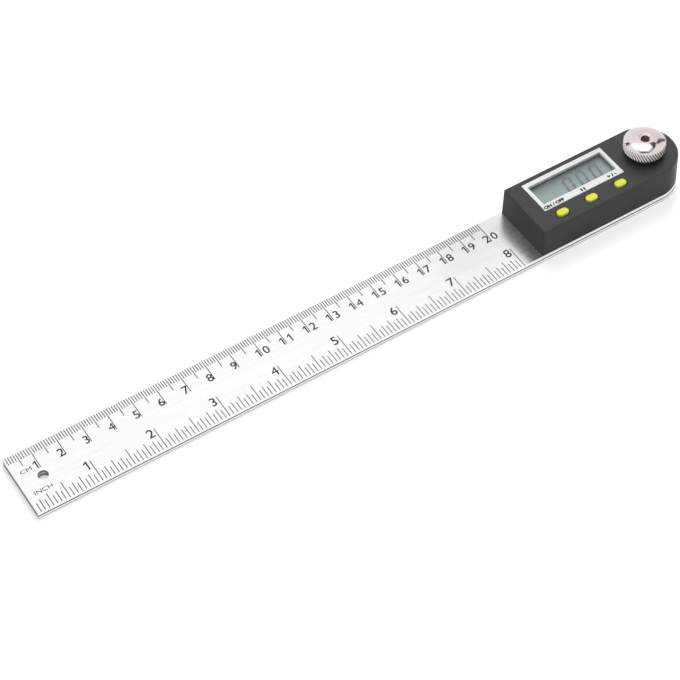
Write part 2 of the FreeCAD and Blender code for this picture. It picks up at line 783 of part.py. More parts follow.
def knurl_prism():
    """Straight-toothed prism as tall as the head of the knob."""
    points = []
    for i in range(2 * knob_teeth):
        angle = math.pi * i / knob_teeth
        radius = knob_dia / 2 - (i % 2) * knob_tooth_depth
        points.append(Vector(radius * math.cos(angle), radius * math.sin(angle), z_knob_bottom))
    face = Part.Face(Part.makePolygon(points + points[:1]))
    return face.extrude(Vector(0, 0, z_knob_crown - z_knob_bottom))


def make_lock_knob():
    """Knurled head, hub and the sleeve whose rolled lip keeps the washer on."""
    head = knob_blank().common(knurl_prism())
    bore = stud_thread_dia / 2 + running_clearance
    sleeve = knob_sleeve_dia / 2
    lip_top = z_washer_bottom - thrust_float
    hub = revolve([
        (bore, z_sleeve_bottom), (sleeve + knob_sleeve_lip, z_sleeve_bottom),
        (sleeve + knob_sleeve_lip, lip_top), (sleeve, lip_top), (sleeve, z_knob_hub),
        (knob_hub_dia / 2, z_knob_hub), (knob_hub_dia / 2, z_knob_bottom), (bore, z_knob_bottom)])
    return head.fuse(hub).removeSplitter()


def make_thrust_washer():
    z1 = z_washer_bottom + thrust_washer_thickness
    return tube(thrust_washer_dia, knob_sleeve_dia + 2 * sleeve_clearance, z_washer_bottom, z1)


# ---- all pieces -------------------------------------------------------------
def all_parts():
    """Every node of the rule, by name."""
    parts = {
        "upper_blade": make_upper_blade(),
        "lower_blade": make_lower_blade(),
        "housing": make_housing(),
        "display_bezel": make_display_bezel(),
        "display_window": make_display_window(),
        "lcd_panel": make_lcd_panel(),
        "lcd_frame": make_lcd_frame(),
        "zebra_strips": make_zebra_strips(),
        "main_board": make_main_board(),
        "chip_blob": make_chip_blob(),
        "board_capacitors": make_board_capacitors(),
        "board_screws": make_board_screws(),
        "tact_switches": make_tact_switches(),
        "housing_screws": make_housing_screws(),
        "coin_cell": make_coin_cell(),
        "battery_contact_positive": make_battery_contact_positive(),
        "battery_contact_negative": make_battery_contact_negative(),
        "battery_cap": make_battery_cap(),
        "cap_seal": make_cap_seal(),
        "pivot_stud": make_pivot_stud(),
        "pivot_bush": make_pivot_bush(),
        "arm_washer": make_arm_washer(),
        "spring_washer": make_spring_washer(),
        "encoder_rotor": make_encoder_rotor(),
        "rotor_clip": make_rotor_clip(),
        "lock_knob": make_lock_knob(),
        "thrust_washer": make_thrust_washer(),
    }
    for name, x, y in button_places():
        parts[name + "_button"] = make_button(x, y)
        parts[name + "_plunger"] = make_plunger(x, y)
    return parts


def main():
    os.makedirs("parts", exist_ok=True)
    for name, shape in all_parts().items():
        if not shape.isValid():
            raise ValueError(name + " is not a valid solid")
        shape.exportStep("parts/" + name + ".step")


main()
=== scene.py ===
"""Finishes, markings and light for a digital bevel protractor with two steel blades.

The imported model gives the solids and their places. This script dresses each solid, and adds the
etched scales, the figures of the display, the key signs and the plated knob.
"""

import json
import logging
import math
from dataclasses import dataclass
from enum import Enum
from typing import Any, Dict, List, Optional, Sequence, Tuple, Union

import bmesh
import bpy
from mathutils import Matrix, Vector

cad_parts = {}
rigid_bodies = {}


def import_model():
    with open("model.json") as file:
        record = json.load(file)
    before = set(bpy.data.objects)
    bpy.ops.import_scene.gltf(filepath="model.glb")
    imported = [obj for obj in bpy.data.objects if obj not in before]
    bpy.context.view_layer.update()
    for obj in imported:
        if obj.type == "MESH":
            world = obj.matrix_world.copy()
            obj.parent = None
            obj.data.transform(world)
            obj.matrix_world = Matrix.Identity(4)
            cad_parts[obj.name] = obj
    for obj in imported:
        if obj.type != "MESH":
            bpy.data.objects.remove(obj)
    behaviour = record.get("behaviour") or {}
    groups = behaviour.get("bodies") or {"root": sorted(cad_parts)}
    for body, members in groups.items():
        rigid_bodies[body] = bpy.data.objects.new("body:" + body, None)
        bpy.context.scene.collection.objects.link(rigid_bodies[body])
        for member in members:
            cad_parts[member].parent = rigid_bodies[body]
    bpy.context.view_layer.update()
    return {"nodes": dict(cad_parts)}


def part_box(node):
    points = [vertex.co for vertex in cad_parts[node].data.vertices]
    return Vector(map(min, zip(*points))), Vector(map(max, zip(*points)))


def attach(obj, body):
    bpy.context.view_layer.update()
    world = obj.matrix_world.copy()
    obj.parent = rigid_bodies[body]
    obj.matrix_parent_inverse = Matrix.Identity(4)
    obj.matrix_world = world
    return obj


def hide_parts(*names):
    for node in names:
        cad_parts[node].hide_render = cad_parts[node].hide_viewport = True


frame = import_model()

MM = 0.001
KEYS = ("power", "hold", "set")
LOG = logging.getLogger("protractor")

Mesh = bpy.types.Mesh
Node = bpy.types.Node
Socket = bpy.types.NodeSocket
Material = bpy.types.Material
Spot = Tuple[float, float]
Point = Tuple[float, float, float]
Colour = Tuple[float, float, float, float]
Input = Union[Socket, float, int, str, Sequence[float]]
Feeds = Dict[Union[int, str], Input]


def paint(red: int, green: int, blue: int) -> Colour:
    """Turns a colour as a screen shows it into the numbers a shader takes.

    Args:
        red: Red part, 0 to 255.
        green: Green part, 0 to 255.
        blue: Blue part, 0 to 255.

    Returns:
        The colour with an opaque fourth part.
    """
    parts = []
    for part in (red, green, blue):
        share = part / 255.0
        parts.append(share / 12.92 if share <= 0.04045 else ((share + 0.055) / 1.055) ** 2.4)
    return (parts[0], parts[1], parts[2], 1.0)


def shade(colour: Colour, share: float) -> Colour:
    """Makes a colour lighter or darker by a share of itself."""
    return (colour[0] * share, colour[1] * share, colour[2] * share, 1.0)


BLACK: Colour = (0.0, 0.0, 0.0, 1.0)
WHITE: Colour = (1.0, 1.0, 1.0, 1.0)
ORIGIN: Point = (0.0, 0.0, 0.0)
EVEN: Point = (1.0, 1.0, 1.0)


class Edge(Enum):
    """The long edge of a blade that a row of lines starts from."""

    BACK = 1.0
    FRONT = -1.0


class Bar(Enum):
    """The bars of a display nought, each with its place and turn on a cell of 1 by 2."""

    TOP = (0.0, 1.0, 0.0)
    BOTTOM = (0.0, -1.0, 0.0)
    UPPER_LEFT = (-0.5, 0.5, 90.0)
    UPPER_RIGHT = (0.5, 0.5, 90.0)
    LOWER_LEFT = (-0.5, -0.5, 90.0)
    LOWER_RIGHT = (0.5, -0.5, 90.0)


# ---- node helpers -----------------------------------------------------------------------------


class Tree:
    """A node tree with short calls for the nodes that materials and shapes share."""

    def __init__(self, tree: bpy.types.NodeTree) -> None:
        """Takes the tree that the nodes go into."""
        self.tree = tree

    def add(self, kind: str, feeds: Optional[Feeds] = None, **settings: Any) -> Node:
        """Adds a node.

        Args:
            kind: Type of the node.
            feeds: A socket or a value for each input, by its name or number.
            **settings: Properties of the node.

        Returns:
            The node.
        """
        node = self.tree.nodes.new(kind)
        for key, value in settings.items():
            setattr(node, key, value)
        for key, value in (feeds or {}).items():
            self.feed(node.inputs[key], value)
        return node

    def feed(self, socket: Socket, value: Input) -> None:
        """Links a socket into an input, or sets the input's value.

        Args:
            socket: The input.
            value: The socket to link from, or a plain value.
        """
        if isinstance(value, bpy.types.NodeSocket):
            self.tree.links.new(value, socket)
        else:
            socket.default_value = value

    def sum(self, kind: str, first: Input, second: Input = 0.0) -> Socket:
        """Adds a math node of that kind and gives its result."""
        return self.add("ShaderNodeMath", {0: first, 1: second}, operation=kind).outputs[0]

    def axes(self, vector: Input) -> Any:
        """Splits a vector and gives its parts by the names X, Y and Z."""
        return self.add("ShaderNodeSeparateXYZ", {0: vector}).outputs

    def seen(self) -> Socket:
        """Tells which rays show a background: the camera's, mirrored ones and those through panes.

        Returns:
            1 for those rays and 0 for others.
        """
        path = self.add("ShaderNodeLightPath").outputs
        most = self.sum("MAXIMUM", path["Is Camera Ray"], path["Is Glossy Ray"])
        return self.sum("MAXIMUM", most, path["Is Transmission Ray"])


class NodeSheet(Tree):
    """The node tree of one material."""

    def __init__(self, name: str) -> None:
        """Starts an empty material.

        Args:
            name: Name of the material.
        """
        self.material = bpy.data.materials.new(name)
        self.material.use_nodes = True
        super().__init__(self.material.node_tree)
        self.tree.nodes.clear()

    def place(self, scale: Point = EVEN, centre: Point = ORIGIN, turn: float = 0.0) -> Socket:
        """Gives object coordinates about a centre, turned about the upright and stretched.

        Args:
            scale: Stretch along each axis.
            centre: Point that becomes the origin, in metres.
            turn: Turn about the upright axis, in degrees.

        Returns:
            The vector socket.
        """
        source = self.add("ShaderNodeTexCoord").outputs["Object"]
        centred = self.add("ShaderNodeVectorMath", {0: source, 1: centre}, operation="SUBTRACT")
        turned = (0.0, 0.0, math.radians(turn))
        feeds = {"Vector": centred.outputs[0], "Rotation": turned, "Scale": scale}
        return self.add("ShaderNodeMapping", feeds, vector_type="POINT").outputs["Vector"]

    def away(self, where: Input) -> Socket:
        """Gives the length of a vector."""
        return self.add("ShaderNodeVectorMath", {0: where}, operation="LENGTH").outputs["Value"]

    def noise(self, where: Input, scale: float, detail: float = 2.0, rough: float = 0.5) -> Socket:
        """Adds a cloudy pattern.

        Args:
            where: The coordinates that it follows.
            scale: Its scale.
            detail: Number of finer layers.
            rough: Strength of the finer layers.

        Returns:
            Its 0 to 1 output.
        """
        feeds = {"Vector": where, "Scale": scale, "Detail": detail, "Roughness": rough}
        return self.add("ShaderNodeTexNoise", feeds, noise_dimensions="3D").outputs["Fac"]

    def rings(self, scale: float, distortion: float, centre: Point = ORIGIN) -> Socket:
        """Adds tool rings about an upright axis.

        Args:
            scale: How close they lie.
            distortion: How far they waver.
            centre: A point on the axis, in metres.

        Returns:
            Their 0 to 1 output.
        """
        feeds = {"Vector": self.place(centre=centre), "Scale": scale, "Distortion": distortion}
        settings = {"wave_type": "RINGS", "rings_direction": "Z", "wave_profile": "SIN"}
        return self.add("ShaderNodeTexWave", feeds, **settings).outputs["Fac"]

    def spread(
        self, value: Input, low: float, high: float, to_low: float = 0.0, to_high: float = 1.0
    ) -> Socket:
        """Maps a range smoothly onto another, held at the ends.

        Args:
            value: What is mapped.
            low: Start of its range.
            high: End of its range.
            to_low: Result at the start.
            to_high: Result at the end.

        Returns:
            The result.
        """
        feeds = {"Value": value, "From Min": low, "From Max": high, "To Min": to_low, "To Max": to_high}
        node = self.add("ShaderNodeMapRange", feeds, interpolation_type="SMOOTHSTEP", clamp=True)
        return node.outputs["Result"]

    def layers(self, base: Input, *coats: Tuple[Input, Input]) -> Socket:
        """Lays colours over a base colour.

        Args:
            base: The lowest colour.
            *coats: Pairs of a share and a colour, from the lowest up.

        Returns:
            The mixed colour.
        """
        for share, colour in coats:
            feeds = {0: share, 6: base, 7: colour}
            base = self.add("ShaderNodeMix", feeds, data_type="RGBA", blend_type="MIX").outputs[2]
        return base

    def bump(
        self, height: Input, depth: float, strength: float = 1.0, under: Optional[Input] = None
    ) -> Socket:
        """Turns a 0 to 1 height into a surface normal.

        Args:
            height: The pattern.
            depth: Height of the pattern, in millimetres.
            strength: Share of the effect.
            under: Normal of a coarser pattern below this one.

        Returns:
            The normal socket.
        """
        feeds = {"Height": height, "Distance": depth * MM, "Strength": strength}
        if under is not None:
            feeds["Normal"] = under
        return self.add("ShaderNodeBump", feeds).outputs["Normal"]

    def surface(self, **sockets: Input) -> Node:
        """Adds the shader of the surface; underscores in names stand for spaces."""
        feeds = {name.replace("_", " "): value for name, value in sockets.items()}
        return self.add("ShaderNodeBsdfPrincipled", feeds)

    def close(self, shader: Node) -> Material:
        """Links the shader to the output and gives the material."""
        self.add("ShaderNodeOutputMaterial", {"Surface": shader.outputs[0]})
        return self.material


class Recipe(Tree):
    """A Geometry Nodes tree with named inputs that ends in Realize Instances and Set Material."""

    def __init__(self, name: str) -> None:
        """Starts the tree with its geometry input and output.

        Args:
            name: Name of the tree.
        """
        super().__init__(bpy.data.node_groups.new(name, "GeometryNodeTree"))
        self.name = name
        self.ids: Dict[str, str] = {}
        self.entry = self.add("NodeGroupInput")
        self.exit = self.add("NodeGroupOutput")
        for way in ("INPUT", "OUTPUT"):
            self.tree.interface.new_socket(name="Geometry", in_out=way, socket_type="NodeSocketGeometry")

    def size(self, name: str, kind: str = "Float") -> Socket:
        """Adds a named input.

        Args:
            name: Its name.
            kind: Its type.

        Returns:
            Its socket inside the tree.
        """
        item = self.tree.interface.new_socket(name=name, in_out="INPUT", socket_type="NodeSocket" + kind)
        self.ids[name] = item.identifier
        return self.entry.outputs[name]

    def spot(self) -> Socket:
        """Gives the place of each point."""
        return self.add("GeometryNodeInputPosition").outputs[0]

    def point(self, x: Input = 0.0, y: Input = 0.0, z: Input = 0.0) -> Socket:
        """Joins three numbers to a vector."""
        return self.add("ShaderNodeCombineXYZ", {"X": x, "Y": y, "Z": z}).outputs[0]

    def close(self, geometry: Socket) -> None:
        """Realizes the geometry, gives it the material input and ends the tree.

        Args:
            geometry: What the tree has made.
        """
        made = self.add("GeometryNodeRealizeInstances", {0: geometry})
        feeds = {"Geometry": made.outputs[0], "Material": self.size("Finish", "Material")}
        self.feed(self.exit.inputs[0], self.add("GeometryNodeSetMaterial", feeds).outputs[0])

    def run(self, values: Dict[str, Any], start: Optional[Mesh] = None) -> Mesh:
        """Runs the tree once and gives the plain mesh.

        Args:
            values: A value for each named input.
            start: Mesh that the tree begins from.

        Returns:
            The mesh, with no modifier left.
        """
        carrier = bpy.data.objects.new(self.name, start or bpy.data.meshes.new(self.name))
        bpy.context.scene.collection.objects.link(carrier)
        modifier = carrier.modifiers.new("recipe", "NODES")
        modifier.node_group = self.tree
        for name, value in values.items():
            modifier[self.ids[name]] = value
        carrier.update_tag()
        graph = bpy.context.evaluated_depsgraph_get()
        finished = carrier.evaluated_get(graph)
        mesh = bpy.data.meshes.new_from_object(finished, preserve_all_data_layers=True, depsgraph=graph)
        carrier.modifiers.remove(modifier)
        bpy.data.objects.remove(carrier)
        return mesh


# ---- finishes ---------------------------------------------------------------------------------


@dataclass(frozen=True)
class Finish:
    """A named finish that can build its material."""

    name: str

    def build(self) -> Material:
        """Builds the material."""
        raise NotImplementedError


@dataclass(frozen=True)
class BrushedSteel(Finish):
    """Rolled stainless strip with its grain along the blade, its places in millimetres."""

    tone: Colour = paint(250, 250, 251)
    side: Colour = paint(246, 246, 248)
    # Darker ends, partly for their sheared finish and partly as painted shade; also the painted shade of the
    # hole walls.
    sheared: Colour = paint(116, 116, 118)
    # Painted shade in the seam between the blades, and painted contact shadow along the foot.
    grime: Colour = paint(22, 22, 24)
    roughness: float = 0.27
    streak_length: float = 11.0
    streak_width: float = 0.16
    streak_depth: float = 0.0009
    scratch_depth: float = 0.002
    seam: float = 1.5
    seam_width: float = 0.34
    foot_width: float = 0.36
    hole: Point = ORIGIN
    hole_zone: Spot = (2.7, 3.0)

    def zones(self, sheet: NodeSheet) -> Tuple[Socket, Socket, Socket]:
        """Finds the parts of the blade by their place and facing.

        Args:
            sheet: The material's tree.

        Returns:
            Shares of the side faces, of the sheared end with painted shade on the hole walls, and of the
            painted shade in the seam and along the foot.
        """
        around = sheet.add("ShaderNodeTexCoord").outputs
        facing = sheet.axes(around["Normal"])
        height = sheet.axes(around["Object"])["Z"]
        side = sheet.spread(sheet.sum("ABSOLUTE", facing["Z"]), 0.8, 0.95, 1.0, 0.0)
        end = sheet.spread(sheet.sum("MULTIPLY", facing["X"], -1.0), 0.6, 0.9)
        feeds = {0: sheet.place(centre=self.hole), 1: (1.0, 1.0, 0.0)}
        level = sheet.add("ShaderNodeVectorMath", feeds, operation="MULTIPLY").outputs[0]
        round_hole = sheet.spread(sheet.away(level), self.hole_zone[0] * MM, self.hole_zone[1] * MM, 1.0, 0.0)
        wall = sheet.sum("MULTIPLY", round_hole, side)
        off = sheet.sum("ABSOLUTE", sheet.sum("SUBTRACT", height, self.seam * MM))
        # Painted shade: a dark band at the seam between the blades, and a painted contact shadow along the
        # foot of the side faces.
        seam = sheet.spread(off, self.seam_width * MM * 0.6, self.seam_width * MM, 1.0, 0.0)
        foot = sheet.spread(height, self.foot_width * MM * 0.5, self.foot_width * MM, 1.0, 0.0)
        # Painted shade: the hole walls, all but the seam band, take the dark colour of the ends.
        bright = sheet.sum("MULTIPLY", wall, sheet.sum("SUBTRACT", 1.0, seam))
        seam_and_foot_shade_share = sheet.sum("MULTIPLY", sheet.sum("MAXIMUM", seam, foot), side)
        seam_and_foot_shade_share = sheet.sum("MULTIPLY", seam_and_foot_shade_share, sheet.sum("SUBTRACT", 1.0, wall))
        return side, sheet.sum("MAXIMUM", end, bright), seam_and_foot_shade_share

    def build(self) -> Material:
        """Builds grain, soft clouds, long scratches, darker sheared ends, painted shade on the hole walls,
        and painted shade in the seam and along the foot.

        Returns:
            The material.
        """
        sheet = NodeSheet(self.name)
        along, across = 1.0 / (self.streak_length * MM), 1.0 / (self.streak_width * MM)
        fine = sheet.noise(sheet.place((along, across, across)), 1.0, 3.0, 0.6)
        broad = sheet.noise(sheet.place((along * 0.3, across * 0.12, across * 0.12)), 1.0)
        cloud = sheet.noise(sheet.place(), 32.0, 3.0, 0.55)
        scratch = sheet.noise(sheet.place((55.0, 9000.0, 9000.0), turn=7.0), 1.0, 1.0)
        line = sheet.spread(scratch, 0.71, 0.78)
        side, sheared, seam = self.zones(sheet)
        colour = sheet.layers(
            shade(self.tone, 0.97),
            (sheet.spread(broad, 0.3, 0.7), shade(self.tone, 1.01)),
            (sheet.spread(cloud, 0.35, 0.75, 0.0, 0.25), shade(self.tone, 0.94)),
            (sheet.sum("MULTIPLY", line, 0.35), shade(self.tone, 0.93)),
            (side, self.side),
            # The ends are darker partly for their sheared finish and partly as painted shade; the hole walls
            # take it as painted shade.
            (sheared, self.sheared),
            # Painted shade in the seam and painted contact shadow at the foot.
            (seam, self.grime),
        )
        rough = sheet.spread(fine, 0.25, 0.75, self.roughness - 0.02, self.roughness + 0.03)
        rough = sheet.sum("ADD", rough, sheet.spread(cloud, 0.3, 0.7, -0.03, 0.05))
        rough = sheet.sum("ADD", rough, sheet.sum("MULTIPLY", seam, 0.3))
        normal = sheet.bump(fine, self.streak_depth, 0.5)
        normal = sheet.bump(line, self.scratch_depth, 0.4, normal)
        return sheet.close(sheet.surface(Base_Color=colour, Roughness=rough, Normal=normal, Metallic=1.0))


@dataclass(frozen=True)
class MouldedPlastic(Finish):
    """Moulded plastic or rubber with a fine grain and light handling wear, the grain in millimetres."""

    colour: Colour
    roughness: float
    grain: float
    grain_depth: float
    wear: float
    # Share of painted shade on the upright walls; the flat end takes it in full.
    drafted: float = 0.0

    def walls(self, sheet: NodeSheet) -> Socket:
        """Finds the upright walls that take painted shade, most of all the flat end.

        Args:
            sheet: The material's tree.

        Returns:
            Their share.
        """
        facing = sheet.axes(sheet.add("ShaderNodeTexCoord").outputs["Normal"])
        wall = sheet.spread(sheet.sum("ABSOLUTE", facing["Z"]), 0.3, 0.6, self.drafted, 0.0)
        wall = sheet.sum("MULTIPLY", wall, sheet.spread(facing["X"], 0.1, 0.8, 1.0, 0.0))
        flat_end = sheet.spread(sheet.sum("MULTIPLY", facing["X"], -1.0), 0.6, 0.95)
        return sheet.sum("MAXIMUM", wall, flat_end)

    def build(self) -> Material:
        """Builds grain, tone changes and scuffs, and painted shade on the upright walls, which are also
        rougher.

        Returns:
            The material.
        """
        sheet = NodeSheet(self.name)
        grain = sheet.noise(sheet.place(), 1.0 / (self.grain * MM), 2.0, 0.6)
        cloud = sheet.noise(sheet.place(), 55.0, 3.0, 0.55)
        scuff = sheet.noise(sheet.place((700.0, 70.0, 180.0), turn=24.0), 1.0, 3.0, 0.65)
        rub = sheet.spread(scuff, 0.62, 0.80, 0.0, self.wear)
        colour = sheet.layers(
            shade(self.colour, 0.92),
            (sheet.spread(cloud, 0.3, 0.7), shade(self.colour, 1.07)),
            (sheet.spread(grain, 0.25, 0.75, 0.0, 0.25), shade(self.colour, 0.75)),
            (rub, shade(self.colour, 1.8)),
        )
        rough = sheet.spread(cloud, 0.3, 0.7, self.roughness - 0.04, self.roughness + 0.06)
        if self.drafted > 0.0:
            wall = self.walls(sheet)
            # Painted shade on the walls, down to a quarter of the colour.
            colour = sheet.layers(colour, (wall, shade(self.colour, 0.25)))
            rough = sheet.sum("ADD", rough, sheet.sum("MULTIPLY", wall, 0.22))
        rough = sheet.sum("SUBTRACT", rough, sheet.sum("MULTIPLY", rub, 0.5))
        normal = sheet.bump(grain, self.grain_depth, 0.6)
        return sheet.close(sheet.surface(Base_Color=colour, Roughness=rough, Normal=normal, IOR=1.5))


@dataclass(frozen=True)
class PlatedMetal(Finish):
    """Bright plating over turned or bent metal; a knurled rim is given by its radius in millimetres."""

    tone: Colour = paint(228, 217, 216)
    roughness: float = 0.10
    rim: float = 0.0
    rim_top: float = 21.3
    tooth: float = 0.35
    # Painted sheen: a pale, partly diffuse colour on the knurled teeth stands in for their bright
    # reflections.
    rim_tone: Colour = paint(254, 249, 247)
    rim_roughness: float = 0.22
    rim_wear: float = 0.55
    # Painted shade at the bottoms of the knurl's grooves.
    groove: Colour = paint(96, 88, 86)

    def rim_zones(self, sheet: NodeSheet) -> Tuple[Socket, Socket]:
        """Finds the knurled rim and the bottoms of its grooves.

        Args:
            sheet: The material's tree.

        Returns:
            Share of the rim, and how deep a spot lies in a groove.
        """
        spot = sheet.axes(sheet.place())
        square = [sheet.sum("POWER", spot[axis], 2.0) for axis in "XY"]
        reach = sheet.sum("SQRT", sheet.sum("ADD", *square))
        valley = (self.rim - self.tooth) * MM
        below = sheet.spread(spot["Z"], (self.rim_top - 0.2) * MM, self.rim_top * MM, 1.0, 0.0)
        outer = sheet.spread(reach, valley - 0.3 * MM, valley - 0.1 * MM)
        deep = sheet.spread(reach, valley, valley + self.tooth * 0.6 * MM, 1.0, 0.0)
        return sheet.sum("MULTIPLY", below, outer), deep

    def build(self) -> Material:
        """Builds turning rings, smudges and hairlines, and on a knurled rim a painted sheen on the teeth and
        painted shade in the grooves.

        Returns:
            The material.
        """
        sheet = NodeSheet(self.name)
        rings = sheet.rings(900.0, 1.5)
        smudge = sheet.noise(sheet.place(), 260.0, 3.0, 0.6)
        hair = sheet.noise(sheet.place((300.0, 12000.0, 3000.0), turn=35.0), 1.0, 1.0)
        colour = sheet.layers(self.tone, (sheet.spread(smudge, 0.35, 0.75, 0.0, 0.5), shade(self.tone, 0.9)))
        rough = sheet.spread(smudge, 0.3, 0.75, self.roughness * 0.5, self.roughness * 1.9)
        rough = sheet.sum("ADD", rough, sheet.spread(hair, 0.68, 0.78, 0.0, 0.08))
        metal: Input = 1.0
        if self.rim > 0.0:
            on_rim, deep = self.rim_zones(sheet)
            # Painted shade: the groove bottoms on the rim.
            grooves = sheet.sum("MULTIPLY", on_rim, deep)
            # Painted sheen on the teeth, then painted shade in the groove bottoms.
            colour = sheet.layers(colour, (on_rim, self.rim_tone), (grooves, self.groove))
            rough = sheet.sum("ADD", rough, sheet.sum("MULTIPLY", on_rim, self.rim_roughness))
            # Painted sheen: the rim is made partly diffuse so that its pale colour shows.
            metal = sheet.sum("SUBTRACT", 1.0, sheet.sum("MULTIPLY", on_rim, self.rim_wear))
        normal = sheet.bump(rings, 0.0006, 0.4)
        normal = sheet.bump(smudge, 0.004, 0.3, normal)
        return sheet.close(sheet.surface(Base_Color=colour, Roughness=rough, Normal=normal, Metallic=metal))


@dataclass(frozen=True)
class TurnedMetal(Finish):
    """Machined metal with tool rings about an upright axis, their pitch in millimetres."""

    tone: Colour
    roughness: float
    centre: Point = ORIGIN
    pitch: float = 0.12

    def build(self) -> Material:
        """Builds rings and dulled patches.

        Returns:
            The material.
        """
        sheet = NodeSheet(self.name)
        rings = sheet.rings(0.314 / (self.pitch * MM), 0.6, self.centre)
        dull = sheet.noise(sheet.place(), 420.0, 3.0, 0.6)
        colour = sheet.layers(
            self.tone,
            (sheet.spread(dull, 0.35, 0.7), shade(self.tone, 0.72)),
            (sheet.sum("MULTIPLY", rings, 0.25), shade(self.tone, 1.15)),
        )
        rough = sheet.spread(dull, 0.3, 0.75, self.roughness - 0.06, self.roughness + 0.18)
        normal = sheet.bump(rings, 0.006, 0.6)
        return sheet.close(sheet.surface(Base_Color=colour, Roughness=rough, Normal=normal, Metallic=1.0))


@dataclass(frozen=True)
class EtchedMark(Finish):
    """Dark filling of an etched line or figure, a little uneven, its grain in millimetres."""

    colour: Colour
    patchy: Colour
    grain: float = 0.35
    roughness: float = 0.55

    def build(self) -> Material:
        """Builds uneven depth of colour.

        Returns:
            The material.
        """
        sheet = NodeSheet(self.name)
        patch = sheet.noise(sheet.place(), 1.0 / (self.grain * MM), 2.0, 0.6)
        colour = sheet.layers(self.colour, (sheet.spread(patch, 0.35, 0.72), self.patchy))
        rough = sheet.spread(patch, 0.3, 0.7, self.roughness - 0.1, self.roughness + 0.1)
        normal = sheet.bump(patch, 0.004, 0.4)
        shader = sheet.surface(Base_Color=colour, Roughness=rough, Normal=normal, Specular_IOR_Level=0.3)
        return sheet.close(shader)


@dataclass(frozen=True)
class ClearPane(Finish):
    """Clear window with a slight haze."""

    tint: Colour = paint(206, 212, 212)
    haze: float = 0.10
    roughness: float = 0.05

    def build(self) -> Material:
        """Builds the pane with faint wipe marks.

        Returns:
            The material.
        """
        sheet = NodeSheet(self.name)
        wipe = sheet.noise(sheet.place((120.0, 900.0, 120.0), turn=18.0), 1.0, 3.0, 0.6)
        rough = sheet.spread(wipe, 0.4, 0.8, self.roughness * 0.5, self.roughness * 2.5)
        return sheet.close(sheet.surface(Base_Color=self.tint, Roughness=rough, IOR=1.49, Alpha=self.haze))


@dataclass(frozen=True)
class DisplayBack(Finish):
    """Grey-green reflector of a liquid-crystal cell, with a painted shadow toward its back edge, in
    millimetres.
    """

    colour: Colour = paint(150, 172, 169)
    # Painted shadow of the recess wall, darkest at the back edge.
    back_colour: Colour = paint(112, 122, 127)
    back_from: float = 1.0
    back_to: float = 9.5

    def build(self) -> Material:
        """Builds the foil with its fine sparkle, a slow change of tone and a painted shadow toward its back
        edge.

        Returns:
            The material.
        """
        sheet = NodeSheet(self.name)
        sparkle = sheet.noise(sheet.place(), 9000.0, 2.0, 0.7)
        slow = sheet.noise(sheet.place((30.0, 60.0, 30.0)), 1.0)
        back = sheet.spread(sheet.axes(sheet.place())["Y"], self.back_from * MM, self.back_to * MM)
        colour = sheet.layers(
            shade(self.colour, 0.96),
            (sheet.spread(slow, 0.3, 0.7), shade(self.colour, 1.04)),
            # Painted shadow toward the back edge.
            (back, self.back_colour),
            (sheet.spread(sparkle, 0.35, 0.75, 0.0, 0.25), shade(self.colour, 0.82)),
        )
        rough = sheet.spread(sparkle, 0.3, 0.7, 0.42, 0.62)
        normal = sheet.bump(sparkle, 0.003, 0.4)
        shader = sheet.surface(Base_Color=colour, Roughness=rough, Normal=normal, Specular_IOR_Level=0.4)
        return sheet.close(shader)


@dataclass(frozen=True)
class CircuitLaminate(Finish):
    """Solder mask over copper tracks on woven laminate."""

    mask: Colour = paint(24, 84, 52)
    track: Colour = paint(44, 122, 74)
    pad: Colour = paint(196, 188, 150)

    def build(self) -> Material:
        """Builds tracks, pads and the weave below the mask.

        Returns:
            The material.
        """
        sheet = NodeSheet(self.name)
        feeds = {"Vector": sheet.place(), "Scale": 330.0, "Distortion": 6.0, "Detail": 0.0}
        settings = {"wave_type": "BANDS", "bands_direction": "DIAGONAL", "wave_profile": "SIN"}
        bands = sheet.add("ShaderNodeTexWave", feeds, **settings)
        dots = sheet.add("ShaderNodeTexVoronoi", {"Vector": sheet.place(), "Scale": 420.0}, feature="F1")
        weave = sheet.add("ShaderNodeTexChecker", {"Vector": sheet.place(turn=45.0), "Scale": 2600.0})
        line = sheet.spread(bands.outputs["Fac"], 0.62, 0.7)
        spot = sheet.spread(dots.outputs["Distance"], 0.10, 0.14, 1.0, 0.0)
        colour = sheet.layers(
            self.mask,
            (line, self.track),
            (spot, self.pad),
            (sheet.sum("MULTIPLY", weave.outputs["Fac"], 0.08), shade(self.mask, 0.5)),
        )
        rough = sheet.spread(spot, 0.0, 1.0, 0.34, 0.22)
        normal = sheet.bump(line, 0.02, 0.5)
        return sheet.close(sheet.surface(Base_Color=colour, Roughness=rough, Normal=normal))


